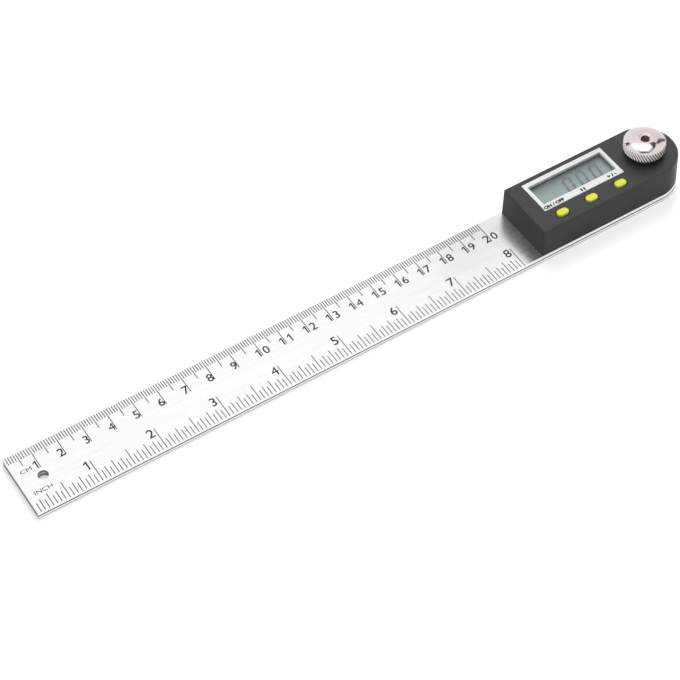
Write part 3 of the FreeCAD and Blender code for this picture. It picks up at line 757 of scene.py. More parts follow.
@dataclass(frozen=True)
class StudioFloor(Finish):
    """Pale floor that keeps the shadow of the object, reads white around it and is clear from below."""

    colour: Colour = (0.82, 0.82, 0.82, 1.0)
    lift: float = 0.44
    far_lift: float = 1.0
    lift_from: float = 0.45
    lift_to: float = 1.3

    def build(self) -> Material:
        """Builds a matte floor whose lift grows away from the lamps and whose underside is clear.

        Returns:
            The material.
        """
        sheet = NodeSheet(self.name)
        matte = sheet.add("ShaderNodeBsdfDiffuse", {"Color": self.colour})
        lift = sheet.spread(sheet.away(sheet.place()), self.lift_from, self.lift_to, self.lift, self.far_lift)
        feeds = {"Color": WHITE, "Strength": sheet.sum("MULTIPLY", sheet.seen(), lift)}
        glow = sheet.add("ShaderNodeEmission", feeds)
        both = sheet.add("ShaderNodeAddShader", {0: matte.outputs[0], 1: glow.outputs[0]})
        passed = sheet.add("ShaderNodeLightPath").outputs["Transparent Depth"]
        under = sheet.add("ShaderNodeNewGeometry").outputs["Backfacing"]
        under = sheet.sum("MAXIMUM", under, sheet.sum("MINIMUM", passed, 1.0))
        clear = sheet.add("ShaderNodeBsdfTransparent")
        feeds = {0: under, 1: both.outputs[0], 2: clear.outputs[0]}
        return sheet.close(sheet.add("ShaderNodeMixShader", feeds))


@dataclass(frozen=True)
class CardFinish(Finish):
    """Plain studio card, dark or with a glow that fades across it over a range in metres."""

    colour: Colour
    glow: float = 0.0
    fade: float = 0.0
    fade_range: Spot = (0.08, 0.42)

    def build(self) -> Material:
        """Builds a matte card with a faint mottle and its own light.

        Returns:
            The material.
        """
        sheet = NodeSheet(self.name)
        mottle = sheet.spread(sheet.noise(sheet.place(), 14.0), 0.3, 0.7)
        colour = sheet.layers(shade(self.colour, 0.9), (mottle, self.colour))
        shader = sheet.surface(Base_Color=colour, Roughness=0.9, Specular_IOR_Level=0.1)
        if self.glow > 0.0:
            across = sheet.axes(sheet.place())["X"]
            light = sheet.spread(across, *self.fade_range, self.glow, self.glow - self.fade)
            sheet.feed(shader.inputs["Emission Color"], WHITE)
            sheet.feed(shader.inputs["Emission Strength"], light)
        return sheet.close(shader)


class Shelf:
    """Keeps each finish's material, so that it is built once."""

    def __init__(self) -> None:
        """Starts with an empty shelf."""
        self.made: Dict[Finish, Material] = {}

    def take(self, finish: Finish) -> Material:
        """Gives the material of a finish, built at its first use.

        Args:
            finish: The finish.

        Returns:
            Its material.
        """
        if finish not in self.made:
            self.made[finish] = finish.build()
        return self.made[finish]

    def dress(self, finish: Finish, *nodes: str) -> None:
        """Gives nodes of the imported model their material.

        Args:
            finish: Their finish.
            *nodes: Names of the nodes.
        """
        material = self.take(finish)
        for node in nodes:
            solid = frame["nodes"][node]
            if not solid.material_slots:
                solid.data.materials.append(material)
            for held in solid.material_slots:
                held.material = material
            LOG.info("%s is finished in %s", node, material.name)


# ---- mesh helpers -----------------------------------------------------------------------------


@dataclass(frozen=True)
class Place:
    """Low and high corners of a solid."""

    low: Vector
    high: Vector

    @staticmethod
    def of(node: str) -> "Place":
        """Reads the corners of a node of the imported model."""
        low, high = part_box(node)
        return Place(low, high)

    @property
    def middle(self) -> Vector:
        """The point halfway between the corners."""
        return (self.low + self.high) / 2


def turn_out(mesh: Mesh) -> None:
    """Merges doubled points and points every face outward.

    Args:
        mesh: The mesh.
    """
    work = bmesh.new()
    work.from_mesh(mesh)
    bmesh.ops.remove_doubles(work, verts=work.verts, dist=1e-7)
    bmesh.ops.recalc_face_normals(work, faces=work.faces)
    work.to_mesh(mesh)
    work.free()


def slab(name: str, low: Vector, high: Vector, corner: float) -> Mesh:
    """Makes a flat slab with slightly broken edges.

    Args:
        name: Name of the mesh.
        low: Its low corner.
        high: Its high corner.
        corner: Width of the broken edges, in metres.

    Returns:
        The mesh.
    """
    work = bmesh.new()
    bmesh.ops.create_cube(work, size=1.0)
    size, middle = high - low, (high + low) / 2
    for point in work.verts:
        point.co = Vector([point.co[i] * size[i] for i in range(3)]) + middle
    bmesh.ops.bevel(work, geom=work.edges[:], offset=corner, segments=2, profile=0.5, affect="EDGES")
    bmesh.ops.recalc_face_normals(work, faces=work.faces)
    mesh = bpy.data.meshes.new(name)
    work.to_mesh(mesh)
    work.free()
    return mesh


def joined(name: str, meshes: Sequence[Mesh]) -> Mesh:
    """Joins several meshes with the same material into one mesh.

    Args:
        name: Name of the result.
        meshes: The meshes, which are dropped.

    Returns:
        The joined mesh with the first one's materials.
    """
    result = bpy.data.meshes.new(name)
    work = bmesh.new()
    for mesh in meshes:
        work.from_mesh(mesh)
    work.to_mesh(result)
    work.free()
    for material in meshes[0].materials:
        result.materials.append(material)
    for mesh in meshes:
        bpy.data.meshes.remove(mesh)
    return result


def add_piece(name: str, mesh: Mesh, body: str, slot: str, *nodes: str) -> None:
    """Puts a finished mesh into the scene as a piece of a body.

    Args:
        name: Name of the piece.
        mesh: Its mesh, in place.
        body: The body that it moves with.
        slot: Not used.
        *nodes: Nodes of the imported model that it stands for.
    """
    piece = bpy.data.objects.new(name, mesh)
    mesh.name = name
    bpy.context.scene.collection.objects.link(piece)
    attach(piece, body)
    if nodes:
        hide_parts(*nodes)
    LOG.info("%s rides on %s with %d faces", name, body, len(mesh.polygons))


def one_mesh() -> Mesh:
    """Makes the figure one with its flag, as the scales have it.

    Returns:
        The mesh, at the origin.
    """
    stem = [(0.15, 0.0), (0.15, 0.7), (0.07, 0.7)]
    flag = [(-0.12, 0.555), (-0.12, 0.45), (0.045, 0.57), (0.045, 0.0)]
    mesh = bpy.data.meshes.new("one")
    faces = [(6, 0, 1, 5), (1, 2, 5), (2, 3, 4, 5)]
    mesh.from_pydata([(x, y, 0.0) for x, y in stem + flag], [], faces)
    turn_out(mesh)
    for face in mesh.polygons:
        if face.normal.z < 0:
            face.flip()
    return mesh


def lettering_mesh(text: str, weight: float) -> Mesh:
    """Makes flat filled letters about as high as the font gives them.

    Args:
        text: What they say.
        weight: How far the strokes are thickened, as a share of the font's size.

    Returns:
        The mesh, at the origin.
    """
    curve = bpy.data.curves.new("figure", "FONT")
    curve.body = text
    curve.size = 1.0
    curve.resolution_u = 4
    curve.offset = weight
    curve.fill_mode = "BOTH"
    carrier = bpy.data.objects.new("figure", curve)
    bpy.context.scene.collection.objects.link(carrier)
    graph = bpy.context.evaluated_depsgraph_get()
    mesh = bpy.data.meshes.new_from_object(carrier.evaluated_get(graph))
    bpy.data.objects.remove(carrier)
    bpy.data.curves.remove(curve)
    return mesh


@dataclass(frozen=True)
class Lettering:
    """A figure or short sign: its text, height in millimetres, width share and stroke weight."""

    text: str
    height: float
    width: float = 1.0
    weight: float = 0.0

    def mesh(self, x: float, y: float, top: float) -> Mesh:
        """Makes the lettering as a thin filled mesh.

        Args:
            x: Middle of the lettering along the blade, in metres.
            y: Its middle across the blade, in metres.
            top: Level that it lies on, in metres.

        Returns:
            The mesh, in place.
        """
        mesh = one_mesh() if self.text == "1" else lettering_mesh(self.text, self.weight)
        xs = [point.co.x for point in mesh.vertices]
        ys = [point.co.y for point in mesh.vertices]
        scale = self.height * MM / (max(ys) - min(ys))
        centre = Vector((max(xs) + min(xs), max(ys) + min(ys), 0.0)) / 2
        mesh.transform(Matrix.Translation(-centre))
        mesh.transform(Matrix.Diagonal((scale * self.width, scale, 1.0, 1.0)))
        mesh.transform(Matrix.Translation((x, y, top)))
        return mesh


# ---- blades and their scales ------------------------------------------------------------------


def graduation_recipe() -> Recipe:
    """Builds the tree that sets out a row of scale lines of five lengths.

    Returns:
        The tree.
    """
    recipe = Recipe("graduations")
    count, start = recipe.size("Lines", "Int"), recipe.size("Zero", "Vector")
    pitch, side, width, film = (recipe.size(name) for name in ("Pitch", "Side", "Line Width", "Film"))
    length = recipe.size("Shortest")
    step = recipe.point(pitch)
    first = recipe.add("ShaderNodeVectorMath", {0: start, 1: step}, operation="ADD").outputs[0]
    feeds = {"Count": count, "Offset": step, "Start Location": first}
    row = recipe.add("GeometryNodeMeshLine", feeds, mode="OFFSET")
    number = recipe.sum("ADD", recipe.add("GeometryNodeInputIndex").outputs[0], 1.0)
    for level in "ABCD":
        rest = recipe.sum("MODULO", number, recipe.size("Every " + level))
        hit = recipe.sum("LESS_THAN", rest, 0.5)
        feeds = {"Switch": hit, "False": length, "True": recipe.size("Length " + level)}
        length = recipe.add("GeometryNodeSwitch", feeds, input_type="FLOAT").outputs[0]
    inward = recipe.sum("MULTIPLY", recipe.sum("MULTIPLY", length, side), -0.5)
    feeds = {"Geometry": row.outputs["Mesh"], "Offset": recipe.point(0.0, inward)}
    moved = recipe.add("GeometryNodeSetPosition", feeds)
    line = recipe.add("GeometryNodeMeshCube", {"Size": (1.0, 1.0, 1.0)})
    extent = recipe.point(width, length, film)
    feeds = {"Points": moved.outputs[0], "Instance": line.outputs["Mesh"], "Scale": extent}
    recipe.close(recipe.add("GeometryNodeInstanceOnPoints", feeds).outputs[0])
    return recipe


@dataclass(frozen=True)
class ScaleRow:
    """One row of lines along an edge: its pitch and its line lengths, in millimetres."""

    edge: Edge
    lines: int
    pitch: float
    shortest: float
    longer: Tuple[Spot, ...]
    line_width: float = 0.32


@dataclass
class Blade:
    """A steel blade with a centimetre scale on its back edge and an inch scale on its front edge."""

    node: str
    body: str
    edge_break: float = 0.1
    film: float = 0.012
    hole_from_zero: float = 9.1
    figure_height: float = 3.6
    inch_figure_height: float = 3.9
    unit_height: float = 1.75
    figure_weight: float = 0.010
    inch: float = 25.4
    rows: Tuple[ScaleRow, ...] = (
        ScaleRow(Edge.BACK, 200, 1.0, 3.4, ((5, 6.2), (10, 10.0), (10, 10.0), (10, 10.0))),
        ScaleRow(Edge.FRONT, 128, 25.4 / 16, 4.0, ((2, 5.0), (4, 6.0), (8, 7.4), (16, 10.0))),
    )

    def row_mesh(self, recipe: Recipe, row: ScaleRow, finish: Material) -> Mesh:
        """Sets out one row of lines.

        Args:
            recipe: The tree of lines.
            row: The row's sizes.
            finish: Material of the lines.

        Returns:
            The mesh of all its lines.
        """
        box = Place.of(self.node)
        side = row.edge.value
        edge_y = box.high.y if row.edge is Edge.BACK else box.low.y
        values: Dict[str, Any] = {
            "Lines": row.lines,
            "Pitch": row.pitch * MM,
            "Zero": (box.low.x, edge_y - side * self.edge_break * MM, box.high.z + self.film * MM / 2),
            "Side": side,
            "Line Width": row.line_width * MM,
            "Film": self.film * MM,
            "Shortest": row.shortest * MM,
            "Finish": finish,
        }
        for level, (every, length) in zip("ABCD", row.longer):
            values["Every " + level] = float(every)
            values["Length " + level] = length * MM
        return recipe.run(values)

    def figure_places(self) -> List[Tuple[Lettering, float, float]]:
        """Lists the figures and unit marks of both scales.

        Returns:
            Each with its place from the zero end and from its own edge, the front edge's positive.
        """
        places = []
        for number in range(1, 21):
            offsets = (-1.25,) if number < 10 else (-1.15, 2.2)
            for digit, offset in zip(str(number), offsets):
                places.append((digit, self.figure_height, number * 10 + offset, -8.4))
        for number in range(1, 9):
            places.append((str(number), self.inch_figure_height, number * self.inch - 2.05, 8.6))
        figures = []
        for digit, height, along, across in places:
            weight = 0.0 if digit == "4" else self.figure_weight
            figures.append((Lettering(digit, height, weight=weight), along, across))
        figures.append((Lettering("CM", self.unit_height, width=1.25), 4.9, -8.7))
        figures.append((Lettering("INCH", self.unit_height, width=1.2), 6.4, 8.1))
        return figures

    def build(self, recipe: Recipe, shelf: Shelf) -> None:
        """Dresses the blade and lays its scales on it.

        Args:
            recipe: The tree of lines.
            shelf: The finishes.
        """
        box = Place.of(self.node)
        top = box.high.z + self.film * MM
        hole = (box.low.x + self.hole_from_zero * MM, 0.0, 0.0)
        shelf.dress(BrushedSteel("brushed_stainless", hole=hole), self.node)
        lines = shelf.take(EtchedMark("etched_lines", paint(34, 34, 36), paint(66, 66, 68)))
        dark = shelf.take(EtchedMark("etched_figures", paint(26, 26, 28), paint(52, 52, 54)))
        rows = [self.row_mesh(recipe, row, lines) for row in self.rows]
        add_piece(self.node + "_lines", joined("lines", rows), self.body, "stainless_blade")
        made = []
        for lettering, along, across in self.figure_places():
            edge_y = box.low.y if across > 0 else box.high.y
            made.append(lettering.mesh(box.low.x + along * MM, edge_y + across * MM, top))
        figures = joined("figures", made)
        figures.materials.append(dark)
        add_piece(self.node + "_figures", figures, self.body, "stainless_blade")


# ---- display ----------------------------------------------------------------------------------


def bar_recipe() -> Recipe:
    """Builds the tree that sets the bars of display figures on points with a turn each.

    Returns:
        The tree.
    """
    recipe = Recipe("display_bars")
    length, width, film, lean = (recipe.size(name) for name in ("Bar Length", "Bar Width", "Film", "Lean"))
    disc = recipe.add("GeometryNodeMeshCircle", {"Vertices": 6, "Radius": 0.5}, fill_type="NGON")
    spot = recipe.axes(recipe.spot())
    flat = recipe.sum("MULTIPLY", spot["Y"], 2.0 / math.sqrt(3.0))
    tip = recipe.sum("MULTIPLY", recipe.sum("ABSOLUTE", flat), 2.0)
    reach = recipe.sum("SUBTRACT", length, recipe.sum("MULTIPLY", tip, width))
    x = recipe.sum("MULTIPLY", recipe.sum("MULTIPLY", recipe.sum("SIGN", spot["X"]), 0.5), reach)
    corner = recipe.point(x, recipe.sum("MULTIPLY", flat, width))
    shape = recipe.add("GeometryNodeSetPosition", {"Geometry": disc.outputs["Mesh"], "Position": corner})
    turn = recipe.add("GeometryNodeInputNamedAttribute", {"Name": "turn"}, data_type="FLOAT")
    turned = recipe.point(0.0, 0.0, turn.outputs["Attribute"])
    feeds = {"Points": recipe.entry.outputs[0], "Instance": shape.outputs[0], "Rotation": turned}
    placed = recipe.add("GeometryNodeInstanceOnPoints", feeds)
    solid = recipe.add("GeometryNodeRealizeInstances", {0: placed.outputs[0]})
    feeds = {"Mesh": solid.outputs[0], "Offset Scale": film}
    thick = recipe.add("GeometryNodeExtrudeMesh", feeds, mode="FACES")
    shift = recipe.point(recipe.sum("MULTIPLY", recipe.axes(recipe.spot())["Y"], lean))
    sheared = recipe.add("GeometryNodeSetPosition", {"Geometry": thick.outputs["Mesh"], "Offset": shift})
    recipe.close(sheared.outputs[0])
    return recipe


@dataclass
class Display:
    """The liquid-crystal cell, its figures, its window and the bezel round them, in millimetres."""

    bezel: Finish = MouldedPlastic("bezel_silver", paint(232, 232, 234), 0.38, 0.16, 0.004, 0.05)
    frame: Finish = MouldedPlastic("frame_natural", paint(206, 206, 200), 0.5, 0.3, 0.01, 0.05)
    strips: Finish = MouldedPlastic("zebra_rubber", paint(58, 58, 60), 0.7, 0.12, 0.02, 0.0)
    figures: int = 3
    digit_height: float = 7.6
    digit_width: float = 4.1
    digit_pitch: float = 6.15
    bar_width: float = 1.15
    bar_film: float = 0.02
    bar_lap: float = 0.42
    lean: float = 0.13
    figures_from_right: float = 3.7
    figures_down: float = 0.4
    figures_depth: float = 0.45
    foil_depth: float = 0.56
    window_lap: float = 0.4
    gap: float = 0.04
    sign_down: float = 0.3
    signs: Tuple[Lettering, ...] = (
        Lettering("ON / OFF", 1.6, 1.12, 0.065),
        Lettering("I I", 1.6, 1.3, 0.09),
        Lettering("+ / -", 1.6, 1.2, 0.07),
    )

    def opening(self) -> Place:
        """Works out the opening in the bezel from the window behind it."""
        window, lap = Place.of("display_window"), Vector((self.window_lap, self.window_lap, 0.0)) * MM
        return Place(window.low + lap, window.high - lap)

    def build_cell(self, shelf: Shelf) -> None:
        """Makes the reflector of the cell.

        Args:
            shelf: The finishes.
        """
        cell = Place.of("lcd_panel")
        foil_top = Vector((cell.high.x, cell.high.y, cell.high.z - self.foil_depth * MM))
        back = slab("display_back", cell.low, foil_top, 0.05 * MM)
        back.materials.append(shelf.take(DisplayBack("display_foil")))
        add_piece("display_back", back, "head", "lcd_glass", "lcd_panel")

    def build_window(self, shelf: Shelf) -> None:
        """Makes the window that sits under the bezel.

        Args:
            shelf: The finishes.
        """
        window = Place.of("display_window")
        pane = slab("display_pane", window.low + Vector((0.0, 0.0, self.gap * MM)), window.high, 0.06 * MM)
        pane.materials.append(shelf.take(ClearPane("clear_pane")))
        add_piece("display_pane", pane, "head", "clear_window", "display_window")

    def build_figures(self, recipe: Recipe, shelf: Shelf) -> None:
        """Sets out the bars of the figures inside the cell.

        Args:
            recipe: The tree of bars.
            shelf: The finishes.
        """
        opening = self.opening()
        level = Place.of("lcd_panel").high.z - self.figures_depth * MM
        tall = (self.digit_height - self.bar_width) / 2 * MM
        wide = (self.digit_width - self.bar_width) * MM
        points, turns = [], []
        for place in range(self.figures):
            inset = self.figures_from_right + self.digit_width / 2 + place * self.digit_pitch
            for bar in Bar:
                across, up, turn = bar.value
                points.append((opening.high.x - inset * MM + across * wide, up * tall, 0.0))
                turns.append(math.radians(turn))
        start = bpy.data.meshes.new("bars")
        start.from_pydata(points, [], [])
        start.attributes.new("turn", "FLOAT", "POINT").data.foreach_set("value", turns)
        mesh = recipe.run(
            {
                "Bar Length": min(tall, wide) + self.bar_lap * MM,
                "Bar Width": self.bar_width * MM,
                "Film": self.bar_film * MM,
                "Lean": self.lean,
                "Finish": shelf.take(EtchedMark("display_ink", paint(92, 106, 114), paint(100, 115, 121))),
            },
            start,
        )
        mesh.transform(Matrix.Translation((0.0, opening.middle.y - self.figures_down * MM, level)))
        turn_out(mesh)
        add_piece("display_figures", mesh, "head", "lcd_glass")

    def build_signs(self, shelf: Shelf) -> None:
        """Puts a small sign for each key on the front strip of the bezel.

        Args:
            shelf: The finishes.
        """
        bezel = Place.of("display_bezel")
        y = (bezel.low.y + self.opening().low.y) / 2 - self.sign_down * MM
        top = bezel.high.z + 0.004 * MM
        keys = [Place.of(key + "_button").middle.x for key in KEYS]
        signs = joined("signs", [sign.mesh(x, y, top) for sign, x in zip(self.signs, keys)])
        signs.materials.append(shelf.take(EtchedMark("sign_ink", paint(20, 20, 22), paint(36, 36, 38))))
        add_piece("key_signs", signs, "head", "white_plastic")

    def build(self, recipe: Recipe, shelf: Shelf) -> None:
        """Builds the whole display.

        Args:
            recipe: The tree of bars.
            shelf: The finishes.
        """
        shelf.dress(self.bezel, "display_bezel")
        shelf.dress(self.frame, "lcd_frame")
        shelf.dress(self.strips, "zebra_strips")
        self.build_cell(shelf)
        self.build_figures(recipe, shelf)
        self.build_window(shelf)
        self.build_signs(shelf)


# ---- head: housing, keys and what is inside ---------------------------------------------------


@dataclass
class Head:
    """The moulded housing with its keys, circuit board, cell and contacts."""

    # The housing's upright walls, and most of all its flat end, carry painted shade.
    housing: Finish = MouldedPlastic("housing_black", paint(49, 49, 51), 0.42, 0.24, 0.010, 0.10, drafted=0.9)
    key: Finish = MouldedPlastic("key_lime", paint(222, 226, 62), 0.34, 0.5, 0.004, 0.05)
    switch: Finish = MouldedPlastic("switch_black", paint(34, 34, 36), 0.5, 0.2, 0.008, 0.03)
    board: Finish = CircuitLaminate("circuit_board")
    potting: Finish = MouldedPlastic("potting_black", paint(26, 26, 28), 0.3, 0.9, 0.02, 0.0)
    ceramic: Finish = MouldedPlastic("ceramic_tan", paint(176, 150, 118), 0.5, 0.1, 0.004, 0.0)
    screw: Finish = TurnedMetal("screw_bright", paint(186, 186, 190), 0.3)
    contact: Finish = PlatedMetal("contact_nickel", paint(214, 206, 184))

    def build(self, shelf: Shelf) -> None:
        """Dresses every solid of the head.

        Args:
            shelf: The finishes.
        """
        shelf.dress(self.housing, "housing")
        shelf.dress(self.key, *(key + "_button" for key in KEYS))
        shelf.dress(self.switch, "tact_switches", *(key + "_plunger" for key in KEYS))
        shelf.dress(self.board, "main_board")
        shelf.dress(self.potting, "chip_blob")
        shelf.dress(self.ceramic, "board_capacitors")
        shelf.dress(self.screw, "board_screws", "housing_screws")
        shelf.dress(self.contact, "battery_contact_positive", "battery_contact_negative")
        centre = tuple(Place.of("coin_cell").middle)
        shelf.dress(TurnedMetal("cell_bright", paint(206, 206, 208), 0.26, centre, 0.2), "coin_cell")


@dataclass
class BatteryCover:
    """The round cap under the head, turned with a coin, and its seal."""

    cap: Finish = MouldedPlastic("cap_black", paint(44, 44, 46), 0.45, 0.24, 0.012, 0.15)
    seal: Finish = MouldedPlastic("ring_rubber", paint(36, 36, 38), 0.75, 0.15, 0.01, 0.0)

    def build(self, shelf: Shelf) -> None:
        """Dresses the cap and its seal."""
        shelf.dress(self.cap, "battery_cap")
        shelf.dress(self.seal, "cap_seal")


# ---- pivot and knob ---------------------------------------------------------------------------


@dataclass
class Pivot:
    """The stud, bush, washers and encoder rotor of the joint."""

    # The stud is darker partly as its steel finish and partly as painted shade for its place deep in the
    # knob's bore.
    stud: Finish = TurnedMetal("stud_dark", paint(120, 116, 114), 0.32)
    bush: Finish = TurnedMetal("brass_turned", paint(190, 158, 88), 0.3)
    slip: Finish = MouldedPlastic("slip_white", paint(222, 220, 212), 0.42, 0.3, 0.006, 0.05)
    spring: Finish = TurnedMetal("spring_steel", paint(150, 150, 156), 0.3)
    rotor: Finish = CircuitLaminate("rotor_board")

    def build(self, shelf: Shelf) -> None:
        """Dresses every solid of the joint.

        Args:
            shelf: The finishes.
        """
        shelf.dress(self.stud, "pivot_stud")
        shelf.dress(self.bush, "pivot_bush")
        shelf.dress(self.slip, "arm_washer", "thrust_washer")
        shelf.dress(self.spring, "spring_washer", "rotor_clip")
        shelf.dress(self.rotor, "encoder_rotor")


def turned_recipe() -> Recipe:
    """Builds the tree that turns a profile about the upright and cuts slanted teeth into its rim.

    Returns:
        The tree.
    """
    recipe = Recipe("turned_knurl")
    segments, rows = recipe.size("Segments", "Int"), recipe.size("Rows", "Int")
    teeth, rim = recipe.size("Teeth"), recipe.size("Rim Radius")
    depth, blunt = recipe.size("Tooth Depth"), recipe.size("Tooth Blend")
    twist, twist_low, twist_high = (recipe.size(name) for name in ("Twist", "Twist Low", "Twist High"))
    columns = recipe.sum("ADD", segments, 1.0)
    feeds = {"Size X": 1.0, "Size Y": 1.0, "Vertices X": columns, "Vertices Y": rows}
    grid = recipe.add("GeometryNodeMeshGrid", feeds)
    spot = recipe.axes(recipe.spot())
    angle = recipe.sum("MULTIPLY", recipe.sum("ADD", spot["X"], 0.5), 2 * math.pi)
    share = recipe.sum("ADD", spot["Y"], 0.5)
    row = recipe.sum("ROUND", recipe.sum("MULTIPLY", share, recipe.sum("SUBTRACT", rows, 1.0)))
    feeds = {"Geometry": recipe.entry.outputs[0], "Value": recipe.spot(), "Index": row}
    pick = recipe.add("GeometryNodeSampleIndex", feeds, data_type="FLOAT_VECTOR", domain="POINT")
    outline = recipe.axes(pick.outputs[0])
    wave = recipe.sum("COSINE", recipe.sum("MULTIPLY", angle, teeth))
    cut = recipe.sum("MULTIPLY", recipe.sum("SUBTRACT", 1.0, wave), 0.5)
    limit = recipe.sum("SUBTRACT", rim, recipe.sum("MULTIPLY", cut, depth))
    feeds = {0: outline["X"], 1: limit, 2: blunt}
    radius = recipe.add("ShaderNodeMath", feeds, operation="SMOOTH_MIN").outputs[0]
    held = recipe.sum("MINIMUM", recipe.sum("MAXIMUM", outline["Z"], twist_low), twist_high)
    slanted = recipe.sum("SUBTRACT", angle, recipe.sum("MULTIPLY", held, twist))
    x, y = (recipe.sum("MULTIPLY", radius, recipe.sum(kind, slanted)) for kind in ("COSINE", "SINE"))
    feeds = {"Geometry": grid.outputs["Mesh"], "Position": recipe.point(x, y, outline["Z"])}
    moved = recipe.add("GeometryNodeSetPosition", feeds)
    sewn = recipe.add("GeometryNodeMergeByDistance", {"Geometry": moved.outputs[0], "Distance": 1e-6})
    recipe.close(sewn.outputs[0])
    return recipe


def arc_through(first: Spot, middle: Spot, last: Spot, steps: int) -> List[Spot]:
    """Gives points along the arc through three points.

    Args:
        first: Where it starts.
        middle: A point that it passes.
        last: Where it ends.
        steps: Number of equal parts.

    Returns:
        The points, with both ends.
    """
    (ax, ay), (bx, by), (cx, cy) = first, middle, last
    d = 2 * (ax * (by - cy) + bx * (cy - ay) + cx * (ay - by))
    sa, sb, sc = ax * ax + ay * ay, bx * bx + by * by, cx * cx + cy * cy
    ux = (sa * (by - cy) + sb * (cy - ay) + sc * (ay - by)) / d
    uy = (sa * (cx - bx) + sb * (ax - cx) + sc * (bx - ax)) / d
    radius = math.hypot(ax - ux, ay - uy)
    start = math.atan2(ay - uy, ax - ux)
    end = math.atan2(cy - uy, cx - ux)
    angles = [start + (end - start) * i / steps for i in range(steps + 1)]
    return [(ux + radius * math.cos(angle), uy + radius * math.sin(angle)) for angle in angles]


@dataclass
class LockKnob:
    """The plated knob with slanted knurling round its rim, in millimetres and degrees."""

    radius: float = 8.1
    rim_height: float = 4.3
    rim_rows: int = 8
    rim_break: float = 0.5
    dome_height: float = 1.2
    dome_point: Spot = (5.0, 0.45)
    dome_steps: int = 34
    bore: float = 2.0
    bore_break: float = 0.45
    mouth: float = 1.7
    mouth_depth: float = 1.4
    hub_radius: float = 5.5
    hub_height: float = 1.0
    sleeve_radius: float = 3.5
    lip: float = 0.4
    lip_height: float = 0.3
    teeth: int = 44
    tooth_segments: int = 10
    tooth_depth: float = 0.42
    tooth_blend: float = 0.06
    tooth_lean: float = 30.0
    crease: float = 38.0

    def outline(self) -> List[Spot]:
        """Works out the closed half-section of the knob.

        Returns:
            Its corners, as radius and height.
        """
        box = Place.of("lock_knob")
        crown, low = box.high.z / MM, box.low.z / MM
        rim_top = crown - self.dome_height
        bottom = rim_top - self.rim_height
        hub = bottom - self.hub_height
        lip_top, lip_radius = low + self.lip_height, self.sleeve_radius + self.lip
        sleeve = [(self.bore, low), (lip_radius, low), (lip_radius, lip_top), (self.sleeve_radius, lip_top)]
        foot = [(self.sleeve_radius, hub), (self.hub_radius, hub), (self.hub_radius, bottom)]
        rim_reach = self.rim_height - 2 * self.rim_break
        rim_foot = bottom + self.rim_break
        rim = [(self.radius, rim_foot + rim_reach * i / self.rim_rows) for i in range(self.rim_rows)]
        dome = arc_through(
            (self.radius, rim_top - self.rim_break),
            (self.dome_point[0], crown - self.dome_point[1]),
            (self.bore + self.bore_break, crown),
            self.dome_steps,
        )
        broken = (self.bore + self.bore_break * 0.3, crown - self.bore_break * 0.3)
        mouth = [broken, (self.mouth, crown - self.bore_break), (self.mouth, crown - self.mouth_depth)]
        bore = [(self.bore, crown - self.mouth_depth), (self.bore, low)]
        return sleeve + foot + [(self.radius - self.rim_break, bottom)] + rim + dome + mouth + bore

    def build(self, recipe: Recipe, shelf: Shelf) -> None:
        """Turns the knob from its outline.

        Args:
            recipe: The tree of the turned shape.
            shelf: The finishes.
        """
        outline = self.outline()
        rim_top = Place.of("lock_knob").high.z / MM - self.dome_height
        plating = PlatedMetal("knob_plating", rim=self.radius, tooth=self.tooth_depth)
        start = bpy.data.meshes.new("outline")
        start.from_pydata([(radius * MM, 0.0, height * MM) for radius, height in outline], [], [])
        mesh = recipe.run(
            {
                "Segments": self.teeth * self.tooth_segments,
                "Rows": len(outline),
                "Teeth": float(self.teeth),
                "Rim Radius": self.radius * MM,
                "Tooth Depth": self.tooth_depth * MM,
                "Tooth Blend": self.tooth_blend * MM,
                "Twist": math.tan(math.radians(self.tooth_lean)) / (self.radius * MM),
                "Twist Low": (rim_top - self.rim_height) * MM,
                "Twist High": rim_top * MM,
                "Finish": shelf.take(plating),
            },
            start,
        )
        turn_out(mesh)
        mesh.shade_smooth()
        mesh.set_sharp_from_angle(angle=math.radians(self.crease))
        add_piece("knob_turned", mesh, "knob", "knob_chrome", "lock_knob")


# ---- studio -----------------------------------------------------------------------------------


@dataclass(frozen=True)
class SoftLamp:
    """A square lamp that nothing mirrors: where it stands, what it points at, its side and its power."""

    name: str
    stand: Point
    aim: Point
    side: float
    power: float

    def build(self) -> None:
        """Puts the lamp into the scene."""
        data = bpy.data.lights.new(self.name, "AREA")
        data.shape = "RECTANGLE"
        data.size = data.size_y = self.side
        data.energy = self.power
        lamp = bpy.data.objects.new(self.name, data)
        lamp.location = self.stand
        lamp.rotation_euler = (Vector(self.aim) - Vector(self.stand)).to_track_quat("-Z", "Y").to_euler()
        lamp.visible_glossy = False
        bpy.context.scene.collection.objects.link(lamp)


@dataclass(frozen=True)
class MirrorCard:
    """A card that only shiny surfaces mirror, by the ways to its corners: right, toward the viewer, up."""

    name: str
    finish: CardFinish
    corners: Tuple[Point, ...]
    distance: float = 0.3
    right: Point = (0.860, -0.510, 0.0)
    toward: Point = (-0.510, -0.860, 0.0)

    def build(self, shelf: Shelf) -> None:
        """Hangs the card.

        Args:
            shelf: The finishes.
        """
        spots = []
        for right, toward, up in self.corners:
            way = Vector(self.right) * right + Vector(self.toward) * toward + Vector((0.0, 0.0, up))
            spots.append(way.normalized() * self.distance)
        count = len(spots)
        spots.append(sum(spots, Vector()) / count)
        mesh = bpy.data.meshes.new(self.name)
        faces = [(i, (i + 1) % count, count) for i in range(count)]
        mesh.from_pydata([tuple(spot) for spot in spots], [], faces)
        mesh.materials.append(shelf.take(self.finish))
        card = bpy.data.objects.new(self.name, mesh)
        for sight in ("camera", "diffuse", "shadow", "transmission"):
            setattr(card, "visible_" + sight, False)
        bpy.context.scene.collection.objects.link(card)


